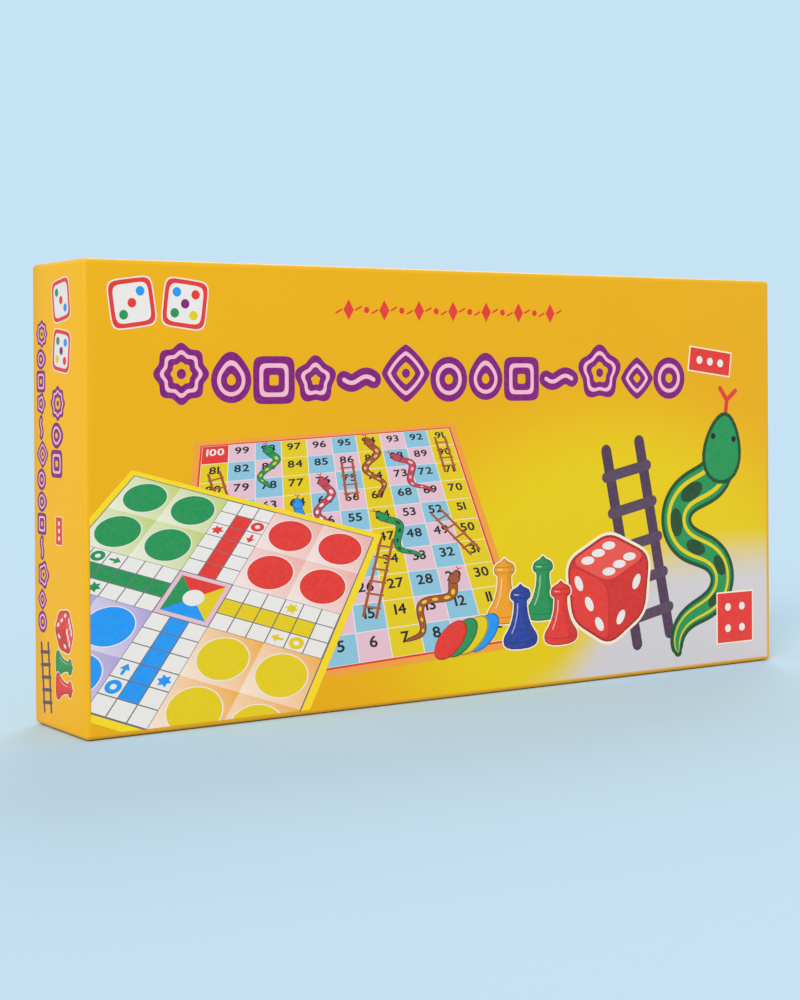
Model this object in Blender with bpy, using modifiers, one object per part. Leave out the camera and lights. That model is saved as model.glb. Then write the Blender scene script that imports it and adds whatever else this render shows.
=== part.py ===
"""A boxed ludo and snakes-and-ladders set, closed and standing on its long edge.

A card lid telescopes over a card base. The base holds a thermoformed insert with the pawns,
the counters and the die in its wells, and the folding two-sided board lies over the insert.
Metres, +Z up. X runs along the box, and the printed front of the lid faces -Y. The origin is
the middle of the edge that the box stands on.
"""

import math

import bmesh
import bpy
from mathutils import Matrix, Vector

# Playing board: two greyboard halves, a printed sheet on each face, and a paper spine.
BOARD_SIDE = 0.254
CORE_THICKNESS = 0.0016
SHEET_THICKNESS = 0.0002
GLUE_LINE = 0.00005
FOLD_GAP = 0.0004
SPINE_THICKNESS = 0.0003
SPINE_EDGE_GAP = 0.00025
SPINE_END_GAP = 0.0001

# Card box: lid and base are folded blanks with a glued tab in each corner.
CARD = 0.0010
FOLD_INNER_RADIUS = 0.0005
TAB_LENGTH = 0.015
TAB_RIM_INSET = 0.0006
TAB_PANEL_INSET = 0.0020
LID_FIT_GAP = 0.0005
BASE_RIM_GAP = 0.0004
BASE_SHOWING = 0.0010
BOARD_END_CLEARANCE = 0.0035
BOARD_TOP_CLEARANCE = 0.0068
BOARD_FACE_CLEARANCE = 0.0006
SEAT_GAP = 0.0003

# Pawns: four of each colour, turned shapes with a hollow foot. Heights stack from the foot up.
COLOURS = ("red", "green", "yellow", "blue")
PAWNS_PER_COLOUR = 4
PAWN_FOOT_HEIGHT = 0.0022
PAWN_SKIRT_HEIGHT = 0.0143
PAWN_COLLAR_HEIGHT = 0.0024
PAWN_NECK_HEIGHT = 0.0005
PAWN_CAP_HEIGHT = 0.0026
PAWN_FOOT_RADIUS = 0.0068
PAWN_WAIST_RADIUS = 0.0024
PAWN_COLLAR_RADIUS = 0.0040
PAWN_CAP_RADIUS = 0.0031
PAWN_EDGE = 0.0005
PAWN_WALL = 0.0013
PAWN_HOLLOW_DEPTH = 0.0080
PAWN_HOLLOW_SHOULDER = 0.0060
PAWN_HOLLOW_TOP_RADIUS = 0.0030
PAWN_SKIRT_CURVE = 1.8
PAWN_SKIRT_STEPS = 4
PAWN_STEPS = 14

# Counters and die.
COUNTER_RADIUS = 0.0100
COUNTER_THICKNESS = 0.0025
COUNTER_RIM = 0.0018
COUNTER_RECESS = 0.0004
COUNTER_EDGE = 0.0004
COUNTER_STEPS = 22
DIE_SIDE = 0.0160
DIE_EDGE_RADIUS = 0.0018
PIP_RADIUS = 0.0013
PIP_DEPTH = 0.0004
PIP_SPACING = 0.0041
PIP_SIDES = 10

# Thermoformed insert.
INSERT_SHEET = 0.0008
INSERT_INNER_RADIUS = 0.0012
WELL_CORNER_RADIUS = 0.0020
WELL_DRAFT = math.radians(3.0)
WELL_END_GAP = 0.0006
WELL_RIB = 0.0070
PAWN_FINGER_SPACE = 0.0120
DIE_FINGER_SPACE = 0.0120
COUNTER_FINGER_SPACE = 0.0080
PIECE_RECESS = 0.0014
SPACE_UNDER_WELLS = 0.0108

# How round the bevels are, and how nearly an edge must run along an axis to be taken for it.
BEVEL_SEGMENTS = 3
DIE_BEVEL_SEGMENTS = 2
NEARLY_ALONG = 0.9
TAB_ROOT_SHARE = 0.6  # the share of the wall's thickness at which a glued tab starts

# The board, folded and standing.
panel_thickness = CORE_THICKNESS + 2 * (GLUE_LINE + SHEET_THICKNESS)
board_stack = 2 * panel_thickness + FOLD_GAP
fold_span = panel_thickness + FOLD_GAP
fold_reach = SPINE_THICKNESS / 2 + SPINE_EDGE_GAP
panel_height = (BOARD_SIDE - fold_span) / 2 - fold_reach
folded_height = panel_height + fold_reach + SPINE_THICKNESS / 2

# The wells, each as wide and as tall as its contents and a finger space.
pawn_height = (PAWN_FOOT_HEIGHT + PAWN_SKIRT_HEIGHT + PAWN_COLLAR_HEIGHT + PAWN_NECK_HEIGHT
               + PAWN_CAP_HEIGHT)
pawn_pitch = 2 * PAWN_FOOT_RADIUS + SEAT_GAP
pawn_bay_width = pawn_height + WELL_END_GAP + PAWN_FINGER_SPACE
pawn_bay_height = PAWNS_PER_COLOUR * pawn_pitch + SEAT_GAP + WELL_END_GAP
counter_pitch = 2 * COUNTER_RADIUS + SEAT_GAP
counter_well_width = 2 * counter_pitch + SEAT_GAP + WELL_END_GAP
counter_well_height = counter_well_width + COUNTER_FINGER_SPACE
die_well_width = DIE_SIDE + SEAT_GAP + DIE_FINGER_SPACE
die_well_height = DIE_SIDE + SEAT_GAP + WELL_END_GAP
pawn_well_depth = 2 * PAWN_FOOT_RADIUS + SEAT_GAP + PIECE_RECESS
counter_well_depth = COUNTER_THICKNESS + SEAT_GAP + PIECE_RECESS
die_well_depth = DIE_SIDE + SEAT_GAP + PIECE_RECESS
deepest_well = max(pawn_well_depth, counter_well_depth, die_well_depth)
insert_height = deepest_well + INSERT_SHEET + SPACE_UNDER_WELLS
insert_edge_radius = INSERT_SHEET + INSERT_INNER_RADIUS

# The four bays stand in a row, two on each side of the middle column of wells.
inner_bay_x = max(counter_well_width, die_well_width) / 2 + WELL_RIB
outer_bay_x = inner_bay_x + pawn_bay_width + WELL_RIB
wells_width = 2 * (outer_bay_x + pawn_bay_width + WELL_RIB)
middle_column_height = counter_well_height + WELL_RIB + die_well_height
wells_height = max(middle_column_height, pawn_bay_height) + 2 * WELL_RIB

# The box, worked out from its contents outwards.
fold_radius = CARD + FOLD_INNER_RADIUS
long_wall_stack = 2 * CARD + LID_FIT_GAP
short_wall_stack = 4 * CARD + LID_FIT_GAP
base_bay_width = max(BOARD_SIDE + 2 * BOARD_END_CLEARANCE, wells_width + 2 * SEAT_GAP)
base_bay_height = max(folded_height + BOARD_TOP_CLEARANCE, wells_height + SEAT_GAP) + SEAT_GAP
box_width = base_bay_width + 2 * short_wall_stack
box_height = base_bay_height + 2 * long_wall_stack
box_depth = 2 * CARD + 2 * SEAT_GAP + insert_height + board_stack + BOARD_FACE_CLEARANCE

# Places along Y, from the back of the box to its front.
back_y = box_depth / 2
front_y = -box_depth / 2
insert_back_y = back_y - CARD - SEAT_GAP
platform_y = insert_back_y - insert_height
board_back_y = platform_y - SEAT_GAP
back_panel_mid_y = board_back_y - panel_thickness / 2
front_panel_mid_y = back_panel_mid_y - fold_span
base_rim_y = front_y + CARD + BASE_RIM_GAP
lid_rim_y = back_y - BASE_SHOWING

# Places along Z.
middle_z = box_height / 2
fold_z = long_wall_stack + SEAT_GAP + SPINE_THICKNESS / 2

# Materials: base colour, roughness.
FINISHES = {
    "printed_card": ((0.87, 0.52, 0.03), 0.45),
    "base_card": ((0.85, 0.50, 0.04), 0.50),
    "greyboard": ((0.42, 0.40, 0.36), 0.90),
    "ludo_print": ((0.75, 0.78, 0.70), 0.40),
    "snakes_print": ((0.62, 0.72, 0.85), 0.40),
    "spine_paper": ((0.10, 0.10, 0.12), 0.60),
    "insert_plastic": ((0.85, 0.86, 0.88), 0.25),
    "red_plastic": ((0.70, 0.03, 0.03), 0.25),
    "green_plastic": ((0.03, 0.36, 0.10), 0.25),
    "yellow_plastic": ((0.85, 0.62, 0.03), 0.25),
    "blue_plastic": ((0.02, 0.07, 0.42), 0.25),
}


def make_collection(name):
    collection = bpy.data.collections.new(name)
    bpy.context.scene.collection.children.link(collection)
    return collection


def make_material(name):
    colour, roughness = FINISHES[name]
    material = bpy.data.materials.new(name)
    material.use_nodes = True
    shader = material.node_tree.nodes["Principled BSDF"]
    shader.inputs["Base Color"].default_value = (*colour, 1.0)
    shader.inputs["Roughness"].default_value = roughness
    shader.inputs["Metallic"].default_value = 0.0
    return material


def make_object(name, mesh, origin=(0, 0, 0), material=None, collection=None):
    obj = bpy.data.objects.new(name, mesh)
    obj.location = origin
    (collection or parts).objects.link(obj)
    if material:
        if not mesh.materials:
            mesh.materials.append(None)
        obj.material_slots[0].link = "OBJECT"
        obj.material_slots[0].material = materials[material]
    return obj


def mesh_from(bm, name, origin=(0, 0, 0)):
    """Turns a bmesh in box coordinates into a mesh whose own zero is at origin."""
    bmesh.ops.translate(bm, verts=bm.verts, vec=-Vector(origin))
    bmesh.ops.recalc_face_normals(bm, faces=bm.faces)
    mesh = bpy.data.meshes.new(name)
    bm.to_mesh(mesh)
    bm.free()
    return mesh


def add_block(bm, low, high):
    """Adds a box between two corners, and gives its vertices."""
    low, high = Vector(low), Vector(high)
    place = Matrix.Translation((low + high) / 2) @ Matrix.Diagonal((*(high - low), 1.0))
    return bmesh.ops.create_cube(bm, size=1.0, matrix=place)["verts"]


def edges_along(verts, axis):
    """The edges of a box, among verts, that run along one axis."""
    edges = {edge for vert in verts for edge in vert.link_edges}
    along = []
    for edge in edges:
        direction = (edge.verts[0].co - edge.verts[1].co).normalized()
        if abs(direction[axis]) > NEARLY_ALONG:
            along.append(edge)
    return along


def front_edges(bm, depth):
    """The edges of a block that lie wholly in front of the plane y = depth."""
    return [edge for edge in bm.edges if max(vert.co.y for vert in edge.verts) < depth]


def round_edges(bm, edges, radius, segments=BEVEL_SEGMENTS):
    bmesh.ops.bevel(bm, geom=list(edges), offset=radius, segments=segments, profile=0.5,
                    affect="EDGES")


def add_boolean(obj, other, operation):
    modifier = obj.modifiers.new(operation.lower(), "BOOLEAN")
    modifier.operation = operation
    modifier.object = other
    modifier.solver = "EXACT"


def make_cutter(name, bm):
    cutter = make_object(name, mesh_from(bm, name), collection=cutters)
    cutter.hide_render = True
    cutter.display_type = "WIRE"
    return cutter


def make_block(name, low, high, material, origin):
    """One plain sheet or board between two corners, with its own zero at origin."""
    bm = bmesh.new()
    add_block(bm, low, high)
    return make_object(name, mesh_from(bm, name, origin), origin, material)


def attach(obj, parent):
    """Lets obj follow parent and leaves it where it stands."""
    obj.parent = parent
    obj.matrix_parent_inverse = Matrix.Translation(-parent.location)


def make_card_box(name, half_width, low_z, high_z, panel_y, rim_y, material):
    """A folded card tray: one panel at panel_y, four walls up to rim_y, and corner tabs inside."""
    bm = bmesh.new()
    low = (-half_width, min(panel_y, rim_y), low_z)
    high = (half_width, max(panel_y, rim_y), high_z)
    add_block(bm, low, high)
    open_face = min(bm.faces, key=lambda face: abs(face.calc_center_median().y - rim_y))
    bmesh.ops.delete(bm, geom=[open_face], context="FACES_ONLY")
    round_edges(bm, [edge for edge in bm.edges if not edge.is_boundary], fold_radius)
    shell = make_object(name, mesh_from(bm, name), material=material)
    solidify = shell.modifiers.new("card", "SOLIDIFY")
    solidify.thickness = CARD
    solidify.offset = -1.0
    solidify.use_even_offset = True
    add_boolean(shell, make_tabs(name, half_width, low_z, high_z, panel_y, rim_y), "UNION")
    return shell


def make_tabs(name, half_width, low_z, high_z, panel_y, rim_y):
    """The glued tabs: each long wall's ends fold in against the inside of the short walls."""
    inward = math.copysign(1.0, rim_y - panel_y)
    near_y = panel_y + inward * TAB_PANEL_INSET
    far_y = rim_y - inward * TAB_RIM_INSET
    root = TAB_ROOT_SHARE * CARD
    tabs = bmesh.new()
    for side in (-1, 1):
        outer_x = side * (half_width - root)
        inner_x = side * (half_width - 2 * CARD)
        for wall_z, towards in ((low_z, 1), (high_z, -1)):
            start_z = wall_z + towards * root
            end_z = wall_z + towards * (CARD + TAB_LENGTH)
            low = (min(outer_x, inner_x), min(near_y, far_y), min(start_z, end_z))
            high = (max(outer_x, inner_x), max(near_y, far_y), max(start_z, end_z))
            add_block(tabs, low, high)
    return make_cutter(name + "_tabs", tabs)


def make_box():
    make_card_box("lid", box_width / 2, 0.0, box_height, front_y, lid_rim_y, "printed_card")
    base_half_width = box_width / 2 - 2 * CARD - LID_FIT_GAP
    base_low_z = CARD + LID_FIT_GAP
    base_high_z = box_height - base_low_z
    make_card_box("base", base_half_width, base_low_z, base_high_z, back_y, base_rim_y, "base_card")


def well_floors():
    """Each well's floor, as low x, high x, low z, high z, and its depth below the platform."""
    counters_z = middle_z - middle_column_height / 2
    counters_top_z = counters_z + counter_well_height
    die_z = counters_top_z + WELL_RIB
    wells = {
        "counters": (-counter_well_width / 2, counter_well_width / 2, counters_z, counters_top_z,
                     counter_well_depth),
        "die": (-die_well_width / 2, die_well_width / 2, die_z, die_z + die_well_height,
                die_well_depth),
    }
    low_z = middle_z - pawn_bay_height / 2
    high_z = middle_z + pawn_bay_height / 2
    for colour, start in zip(COLOURS, (-outer_bay_x, -inner_bay_x, inner_bay_x, outer_bay_x)):
        end = start + math.copysign(pawn_bay_width, start)
        wells[colour] = (min(start, end), max(start, end), low_z, high_z, pawn_well_depth)
    return wells


def add_well(bm, floor, grow):
    """Adds one drafted well, open towards -Y; grow is how far its walls and floor stand outside."""
    low_x, high_x, low_z, high_z, depth = floor
    mouth_y = platform_y - 2 * INSERT_SHEET
    floor_y = platform_y + depth + grow
    spread = (floor_y - mouth_y) * math.tan(WELL_DRAFT)
    low = (low_x - grow, mouth_y, low_z - grow)
    high = (high_x + grow, floor_y, high_z + grow)
    verts = add_block(bm, low, high)
    for vert in verts:
        if vert.co.y < platform_y:
            vert.co.x += math.copysign(spread, vert.co.x - (low_x + high_x) / 2)
            vert.co.z += math.copysign(spread, vert.co.z - (low_z + high_z) / 2)
    round_edges(bm, edges_along(verts, 1), WELL_CORNER_RADIUS + grow)


def make_insert():
    """A sheet drawn over six wells: the block, less the wells, less the space under the sheet."""
    half_width = base_bay_width / 2 - SEAT_GAP
    low_z = long_wall_stack + SEAT_GAP
    high_z = box_height - low_z
    bm = bmesh.new()
    verts = add_block(bm, (-half_width, platform_y, low_z), (half_width, insert_back_y, high_z))
    rounded = set(edges_along(verts, 1)) | set(front_edges(bm, platform_y + INSERT_SHEET))
    round_edges(bm, rounded, insert_edge_radius)
    insert = make_object("insert", mesh_from(bm, "insert"), material="insert_plastic")

    wells = bmesh.new()
    jackets = bmesh.new()
    for floor in well_floors().values():
        add_well(wells, floor, 0.0)
        add_well(jackets, floor, INSERT_SHEET)

    under = bmesh.new()
    under_low = (-half_width + INSERT_SHEET, platform_y + INSERT_SHEET, low_z + INSERT_SHEET)
    under_high = (half_width - INSERT_SHEET, insert_back_y + INSERT_SHEET, high_z - INSERT_SHEET)
    under_verts = add_block(under, under_low, under_high)
    under_edges = set(edges_along(under_verts, 1))
    under_edges |= set(front_edges(under, platform_y + 2 * INSERT_SHEET))
    round_edges(under, under_edges, INSERT_INNER_RADIUS)
    under_sheet = make_cutter("under_sheet", under)
    add_boolean(under_sheet, make_cutter("well_jackets", jackets), "DIFFERENCE")

    add_boolean(insert, make_cutter("well_hollows", wells), "DIFFERENCE")
    add_boolean(insert, under_sheet, "DIFFERENCE")


def make_board_half(side, mid_y, inner, spine):
    """A greyboard core with a ludo sheet on its outer face and a snakes sheet on its inner one.

    Turning the half's fold axis, an empty, swings all three away from the spine.
    """
    fold_line = (0.0, mid_y, fold_z)
    axis = make_object(side + "_fold_axis", None, fold_line)
    attach(axis, spine)
    low_z = fold_z + fold_reach
    high_z = low_z + panel_height
    half_core = CORE_THICKNESS / 2
    near = half_core + GLUE_LINE
    far = near + SHEET_THICKNESS
    layers = (
        ("board_core_" + side, -half_core, half_core, "greyboard"),
        ("snakes_sheet_" + side, inner * near, inner * far, "snakes_print"),
        ("ludo_sheet_" + side, -inner * near, -inner * far, "ludo_print"),
    )
    for name, start, end, material in layers:
        low = (-BOARD_SIDE / 2, mid_y + min(start, end), low_z)
        high = (BOARD_SIDE / 2, mid_y + max(start, end), high_z)
        attach(make_block(name, low, high, material, fold_line), axis)


def make_board():
    """The board stands on its paper spine; opened, both halves lie flat with the snakes face up."""
    low = (-BOARD_SIDE / 2, front_panel_mid_y + SPINE_END_GAP, fold_z - SPINE_THICKNESS / 2)
    high = (BOARD_SIDE / 2, back_panel_mid_y - SPINE_END_GAP, fold_z + SPINE_THICKNESS / 2)
    middle = (0.0, (front_panel_mid_y + back_panel_mid_y) / 2, fold_z)
    spine = make_block("board_spine", low, high, "spine_paper", middle)
    make_board_half("back", back_panel_mid_y, -1, spine)
    make_board_half("front", front_panel_mid_y, 1, spine)


def pawn_profile():
    """Half outline of a pawn, from the tip down the outside and up into the hollow foot."""
    skirt_top = PAWN_FOOT_HEIGHT + PAWN_SKIRT_HEIGHT
    collar_top = skirt_top + PAWN_COLLAR_HEIGHT
    cap_base = collar_top + PAWN_NECK_HEIGHT
    profile = [
        (0.0, pawn_height),
        (PAWN_CAP_RADIUS, cap_base),
        (PAWN_CAP_RADIUS - PAWN_EDGE, collar_top),
        (PAWN_COLLAR_RADIUS - PAWN_EDGE, collar_top),
        (PAWN_COLLAR_RADIUS, collar_top - PAWN_EDGE),
        (PAWN_COLLAR_RADIUS, skirt_top + PAWN_EDGE),
        (PAWN_COLLAR_RADIUS - PAWN_EDGE, skirt_top),
    ]
    for step in range(PAWN_SKIRT_STEPS, -1, -1):
        rise = step / PAWN_SKIRT_STEPS
        flare = (PAWN_FOOT_RADIUS - PAWN_WAIST_RADIUS) * (1 - rise) ** PAWN_SKIRT_CURVE
        profile.append((PAWN_WAIST_RADIUS + flare, PAWN_FOOT_HEIGHT + rise * PAWN_SKIRT_HEIGHT))
    profile += [
        (PAWN_FOOT_RADIUS, PAWN_EDGE),
        (PAWN_FOOT_RADIUS - PAWN_EDGE, 0.0),
        (PAWN_FOOT_RADIUS - PAWN_WALL, 0.0),
        (PAWN_HOLLOW_TOP_RADIUS, PAWN_HOLLOW_SHOULDER),
        (0.0, PAWN_HOLLOW_DEPTH),
    ]
    return profile


def counter_profile():
    """Half outline of a counter, a disc with a raised rim on both faces."""
    half = COUNTER_THICKNESS / 2
    inner = COUNTER_RADIUS - COUNTER_RIM
    top = [
        (0.0, half - COUNTER_RECESS),
        (inner, half - COUNTER_RECESS),
        (inner + COUNTER_EDGE, half),
        (COUNTER_RADIUS - COUNTER_EDGE, half),
        (COUNTER_RADIUS, half - COUNTER_EDGE),
    ]
    return top + [(x, -z) for x, z in reversed(top)]


def turned_mesh(name, profile):
    bm = bmesh.new()
    verts = [bm.verts.new((x, 0.0, z)) for x, z in profile]
    for start, end in zip(verts, verts[1:]):
        bm.edges.new((start, end))
    mesh = bpy.data.meshes.new(name)
    bm.to_mesh(mesh)
    bm.free()
    return mesh


def add_turning(obj, steps):
    screw = obj.modifiers.new("turning", "SCREW")
    screw.steps = steps
    screw.render_steps = steps
    screw.use_merge_vertices = True
    screw.merge_threshold = 0.00001
    screw.use_smooth_shade = True


def make_pawns():
    """Pawns lie along X with their feet to the outer end of their well, one above another."""
    mesh = turned_mesh("pawn", pawn_profile())
    wells = well_floors()
    for colour in COLOURS:
        low_x, high_x, low_z, _, depth = wells[colour]
        y = platform_y + depth - SEAT_GAP - PAWN_FOOT_RADIUS
        outward = 1 if low_x + high_x > 0 else -1
        foot_x = (high_x if outward > 0 else low_x) - outward * WELL_END_GAP
        for index in range(PAWNS_PER_COLOUR):
            z = low_z + SEAT_GAP + PAWN_FOOT_RADIUS + index * pawn_pitch
            name = f"pawn_{colour}_{index + 1}"
            pawn = make_object(name, mesh, (foot_x, y, z), colour + "_plastic")
            pawn.rotation_euler = (0.0, -outward * math.pi / 2, 0.0)
            add_turning(pawn, PAWN_STEPS)


def make_counters():
    """Counters lie flat in their well, two above two."""
    mesh = turned_mesh("counter", counter_profile())
    low_x, high_x, low_z, _, depth = well_floors()["counters"]
    y = platform_y + depth - SEAT_GAP - COUNTER_THICKNESS / 2
    for index, colour in enumerate(COLOURS):
        x = (low_x + high_x) / 2 + (index % 2 - 0.5) * counter_pitch
        z = low_z + SEAT_GAP + COUNTER_RADIUS + (index // 2) * counter_pitch
        counter = make_object("counter_" + colour, mesh, (x, y, z), colour + "_plastic")
        counter.rotation_euler = (math.pi / 2, 0.0, 0.0)
        add_turning(counter, COUNTER_STEPS)


def pip_places(count):
    """Where the pips of one face stand, in pip spacings from its middle."""
    rising = ((-1, -1), (1, 1))
    falling = ((-1, 1), (1, -1))
    sides = ((-1, 0), (1, 0))
    places = ((0, 0),) if count % 2 else ()
    if count > 1:
        places += rising
    if count > 3:
        places += falling
    if count > 5:
        places += sides
    return places


def make_die():
    low_x, _, low_z, _, depth = well_floors()["die"]
    half = DIE_SIDE / 2
    centre = Vector((low_x + SEAT_GAP + half, platform_y + depth - SEAT_GAP - half,
                     low_z + SEAT_GAP + half))
    bm = bmesh.new()
    bmesh.ops.create_cube(bm, size=DIE_SIDE)
    round_edges(bm, bm.edges, DIE_EDGE_RADIUS, DIE_BEVEL_SEGMENTS)
    die = make_object("die", mesh_from(bm, "die"), centre, "red_plastic")

    faces = ((3, "Y", -1), (4, "Y", 1), (6, "X", -1), (1, "X", 1), (2, "Z", 1), (5, "Z", -1))
    turns = {"X": Matrix.Rotation(math.pi / 2, 4, "Y"), "Y": Matrix.Rotation(math.pi / 2, 4, "X"),
             "Z": Matrix.Identity(4)}
    pips = bmesh.new()
    for count, axis, sign in faces:
        outward = Vector([sign * half if name == axis else 0.0 for name in "XYZ"])
        for u, v in pip_places(count):
            local = Matrix.Translation((u * PIP_SPACING, v * PIP_SPACING, 0.0))
            place = Matrix.Translation(outward) @ turns[axis] @ local
            bmesh.ops.create_cone(pips, cap_ends=True, segments=PIP_SIDES, radius1=PIP_RADIUS,
                                  radius2=PIP_RADIUS, depth=2 * PIP_DEPTH, matrix=place)
    cutter = make_cutter("pips", pips)
    cutter.location = centre
    add_boolean(die, cutter, "DIFFERENCE")


def main():
    make_box()
    make_insert()
    make_board()
    make_pawns()
    make_counters()
    make_die()
    print(f"box {box_width:.4f} x {box_depth:.4f} x {box_height:.4f}")


for old in list(bpy.data.objects):
    bpy.data.objects.remove(old, do_unlink=True)
parts = make_collection("ludo_snakes_and_ladders_set")
cutters = make_collection("cutters")
materials = {name: make_material(name) for name in FINISHES}
main()
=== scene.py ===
# %% [markdown]
# # A boxed ludo and snakes-and-ladders set
#
# This lesson dresses a imported CAD model of a board game: a printed card box with a folding
# board, sixteen pawns, four counters and a die inside. The CAD model gives every size and
# place and stays as it is. Each step below builds one real piece around it, in the order in
# which a maker would think of them: light and camera, printed card, moulded plastic, board.
#
# The first cell loads the frame.

# %% Load the frame
import math

import bmesh
import bpy
from mathutils import Matrix, Vector


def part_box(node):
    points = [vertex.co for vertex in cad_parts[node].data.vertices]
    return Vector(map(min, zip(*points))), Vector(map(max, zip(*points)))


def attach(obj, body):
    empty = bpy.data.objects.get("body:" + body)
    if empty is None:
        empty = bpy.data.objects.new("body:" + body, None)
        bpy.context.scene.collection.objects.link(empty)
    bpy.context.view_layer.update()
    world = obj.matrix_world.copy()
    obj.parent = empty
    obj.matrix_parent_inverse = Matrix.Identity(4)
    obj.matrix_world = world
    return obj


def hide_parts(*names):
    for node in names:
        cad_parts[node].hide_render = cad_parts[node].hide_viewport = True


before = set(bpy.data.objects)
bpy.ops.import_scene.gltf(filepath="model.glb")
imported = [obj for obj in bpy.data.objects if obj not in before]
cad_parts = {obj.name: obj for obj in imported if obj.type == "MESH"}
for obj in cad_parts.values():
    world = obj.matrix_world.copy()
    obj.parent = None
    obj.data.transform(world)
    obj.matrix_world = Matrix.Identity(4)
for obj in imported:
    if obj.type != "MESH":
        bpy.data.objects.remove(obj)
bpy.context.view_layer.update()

MM = 0.001
print("nodes in the frame:", len(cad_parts))

# %% [markdown]
# ## Sums with shader sockets
#
# Blender's materials are graphs of nodes. A graph can be clicked together, or written out line
# by line, but neither reads like the sum that it stands for. This small class wraps one output
# socket, so that `1 - mask * 0.5` adds the Math nodes that work it out.

# %% A socket that can be added and multiplied
class Value:
    """One output of a node, used in sums like a number."""

    def __init__(self, finish, socket):
        self.finish = finish
        self.socket = socket

    def maths(self, operation, first, second=0.0):
        return self.finish.node("ShaderNodeMath", {"operation": operation}, {0: first, 1: second})

    def __add__(self, other):
        return self.maths("ADD", self, other)

    def __sub__(self, other):
        return self.maths("SUBTRACT", self, other)

    def __rsub__(self, other):
        return self.maths("SUBTRACT", other, self)

    def __mul__(self, other):
        return self.maths("MULTIPLY", self, other)

    def __abs__(self):
        return self.maths("ABSOLUTE", self)

    __radd__ = __add__
    __rmul__ = __mul__

    def above(self, other):
        return self.maths("MAXIMUM", self, other)


print("sums ready:", [name for name in ("__add__", "__sub__", "__mul__") if hasattr(Value, name)])

# %% [markdown]
# ## One finish, one material
#
# A finish is what a maker calls varnished print, greyboard or moulded plastic. Each becomes one
# material with a Principled shader. Numbers that are the same all over are set on the shader
# itself; whatever changes over the surface is linked in. All other nodes come from one method,
# which sets a node's own settings first and then its sockets.

# %% The finish class
class Finish:
    """One material of the game, with one method that adds its nodes."""

    def __init__(self, name, **constants):
        self.material = bpy.data.materials.new(name)
        self.material.use_nodes = True
        self.tree = self.material.node_tree
        self.shader = self.tree.nodes["Principled BSDF"]
        for socket, value in constants.items():
            self.shader.inputs[socket.replace("_", " ")].default_value = value

    def node(self, kind, settings=None, inputs=None, output=0):
        node = self.tree.nodes.new(kind)
        for setting, value in (settings or {}).items():
            setattr(node, setting, value)
        for socket, value in (inputs or {}).items():
            if isinstance(value, Value):
                self.tree.links.new(value.socket, node.inputs[socket])
            else:
                node.inputs[socket].default_value = value
        if isinstance(output, tuple):
            return tuple(Value(self, node.outputs[name]) for name in output)
        return Value(self, node.outputs[output])

    def feed(self, **sockets):
        for socket, value in sockets.items():
            self.tree.links.new(value.socket, self.shader.inputs[socket.replace("_", " ")])

    def place(self):
        """Where a point of the surface is, in the frame's own metres."""
        return self.node("ShaderNodeTexCoord", output="Object")

    def axes(self):
        return self.node("ShaderNodeSeparateXYZ", inputs={0: self.place()}, output=("X", "Y", "Z"))

    def stretched(self, x, y, z):
        """The place, with each axis scaled, for grain that runs one way."""
        return self.node("ShaderNodeVectorMath", {"operation": "MULTIPLY"},
                         {0: self.place(), 1: (x, y, z)})

    def noise(self, size, detail=2.0, vector=None):
        """Cloudy noise from 0 to 1, with clouds of about this size in metres."""
        return self.node("ShaderNodeTexNoise", inputs={"Vector": vector or self.place(),
                                                       "Scale": 1 / size, "Detail": detail})

    def ease(self, value, start, end):
        """0 before start, 1 after end, and a soft step between them."""
        return self.node("ShaderNodeMapRange", {"interpolation_type": "SMOOTHSTEP"},
                         {0: value, 1: start, 2: end})

    def mix(self, share, start, end):
        return self.node("ShaderNodeMix", {"data_type": "RGBA"}, {0: share, 6: start, 7: end}, 2)

    def bump(self, height, depth, strength):
        self.feed(Normal=self.node("ShaderNodeBump", inputs={
            "Strength": strength, "Distance": depth, "Height": height}))


def paint(red, green, blue):
    """A colour as a screen shows it, 0 to 255, turned into the light that Blender works in."""
    light = []
    for share in (red / 255, green / 255, blue / 255):
        light.append(share / 12.92 if share <= 0.04045 else ((share + 0.055) / 1.055) ** 2.4)
    return (*light, 1.0)


print("white as light:", paint(255, 255, 255))

# %% [markdown]
# ## Camera
#
# The photograph was taken from the left of the box's middle, at about the height of its upper
# third, with a fairly long lens. Six corners of the box were measured and solved for the place,
# the heading and the lens. The picture was cropped low, so the lens looks a little above the
# middle of the frame. A small vertical shift does that without tilting the camera.

# %% Camera at the photograph's viewing angle
IMAGE_HEIGHT = 1000
FOCAL_PIXELS = 1886
SENSOR = 36.0
LENS_SHIFT = -0.107
eye_place = Vector((-0.3577, -0.5141, 0.1018))
yaw, pitch, roll = (math.radians(angle) for angle in (33.73, -0.32, -0.36))

ahead = Vector((math.sin(yaw) * math.cos(pitch), math.cos(yaw) * math.cos(pitch), math.sin(pitch)))
level_right = Vector((math.cos(yaw), -math.sin(yaw), 0.0))
level_up = level_right.cross(ahead)
right = level_right * math.cos(roll) + level_up * math.sin(roll)
up = level_up * math.cos(roll) - level_right * math.sin(roll)

lens = bpy.data.cameras.new("photograph")
lens.sensor_width = SENSOR
lens.lens = FOCAL_PIXELS / IMAGE_HEIGHT * SENSOR
lens.shift_y = LENS_SHIFT
eye = bpy.data.objects.new("photograph", lens)
bpy.context.scene.collection.objects.link(eye)
eye.matrix_world = Matrix((right, up, -ahead)).transposed().to_4x4()
eye.matrix_world.translation = eye_place
bpy.context.scene.camera = eye
bpy.context.scene.view_settings.view_transform = "Standard"
print("lens", round(lens.lens, 1), "mm")

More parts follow.
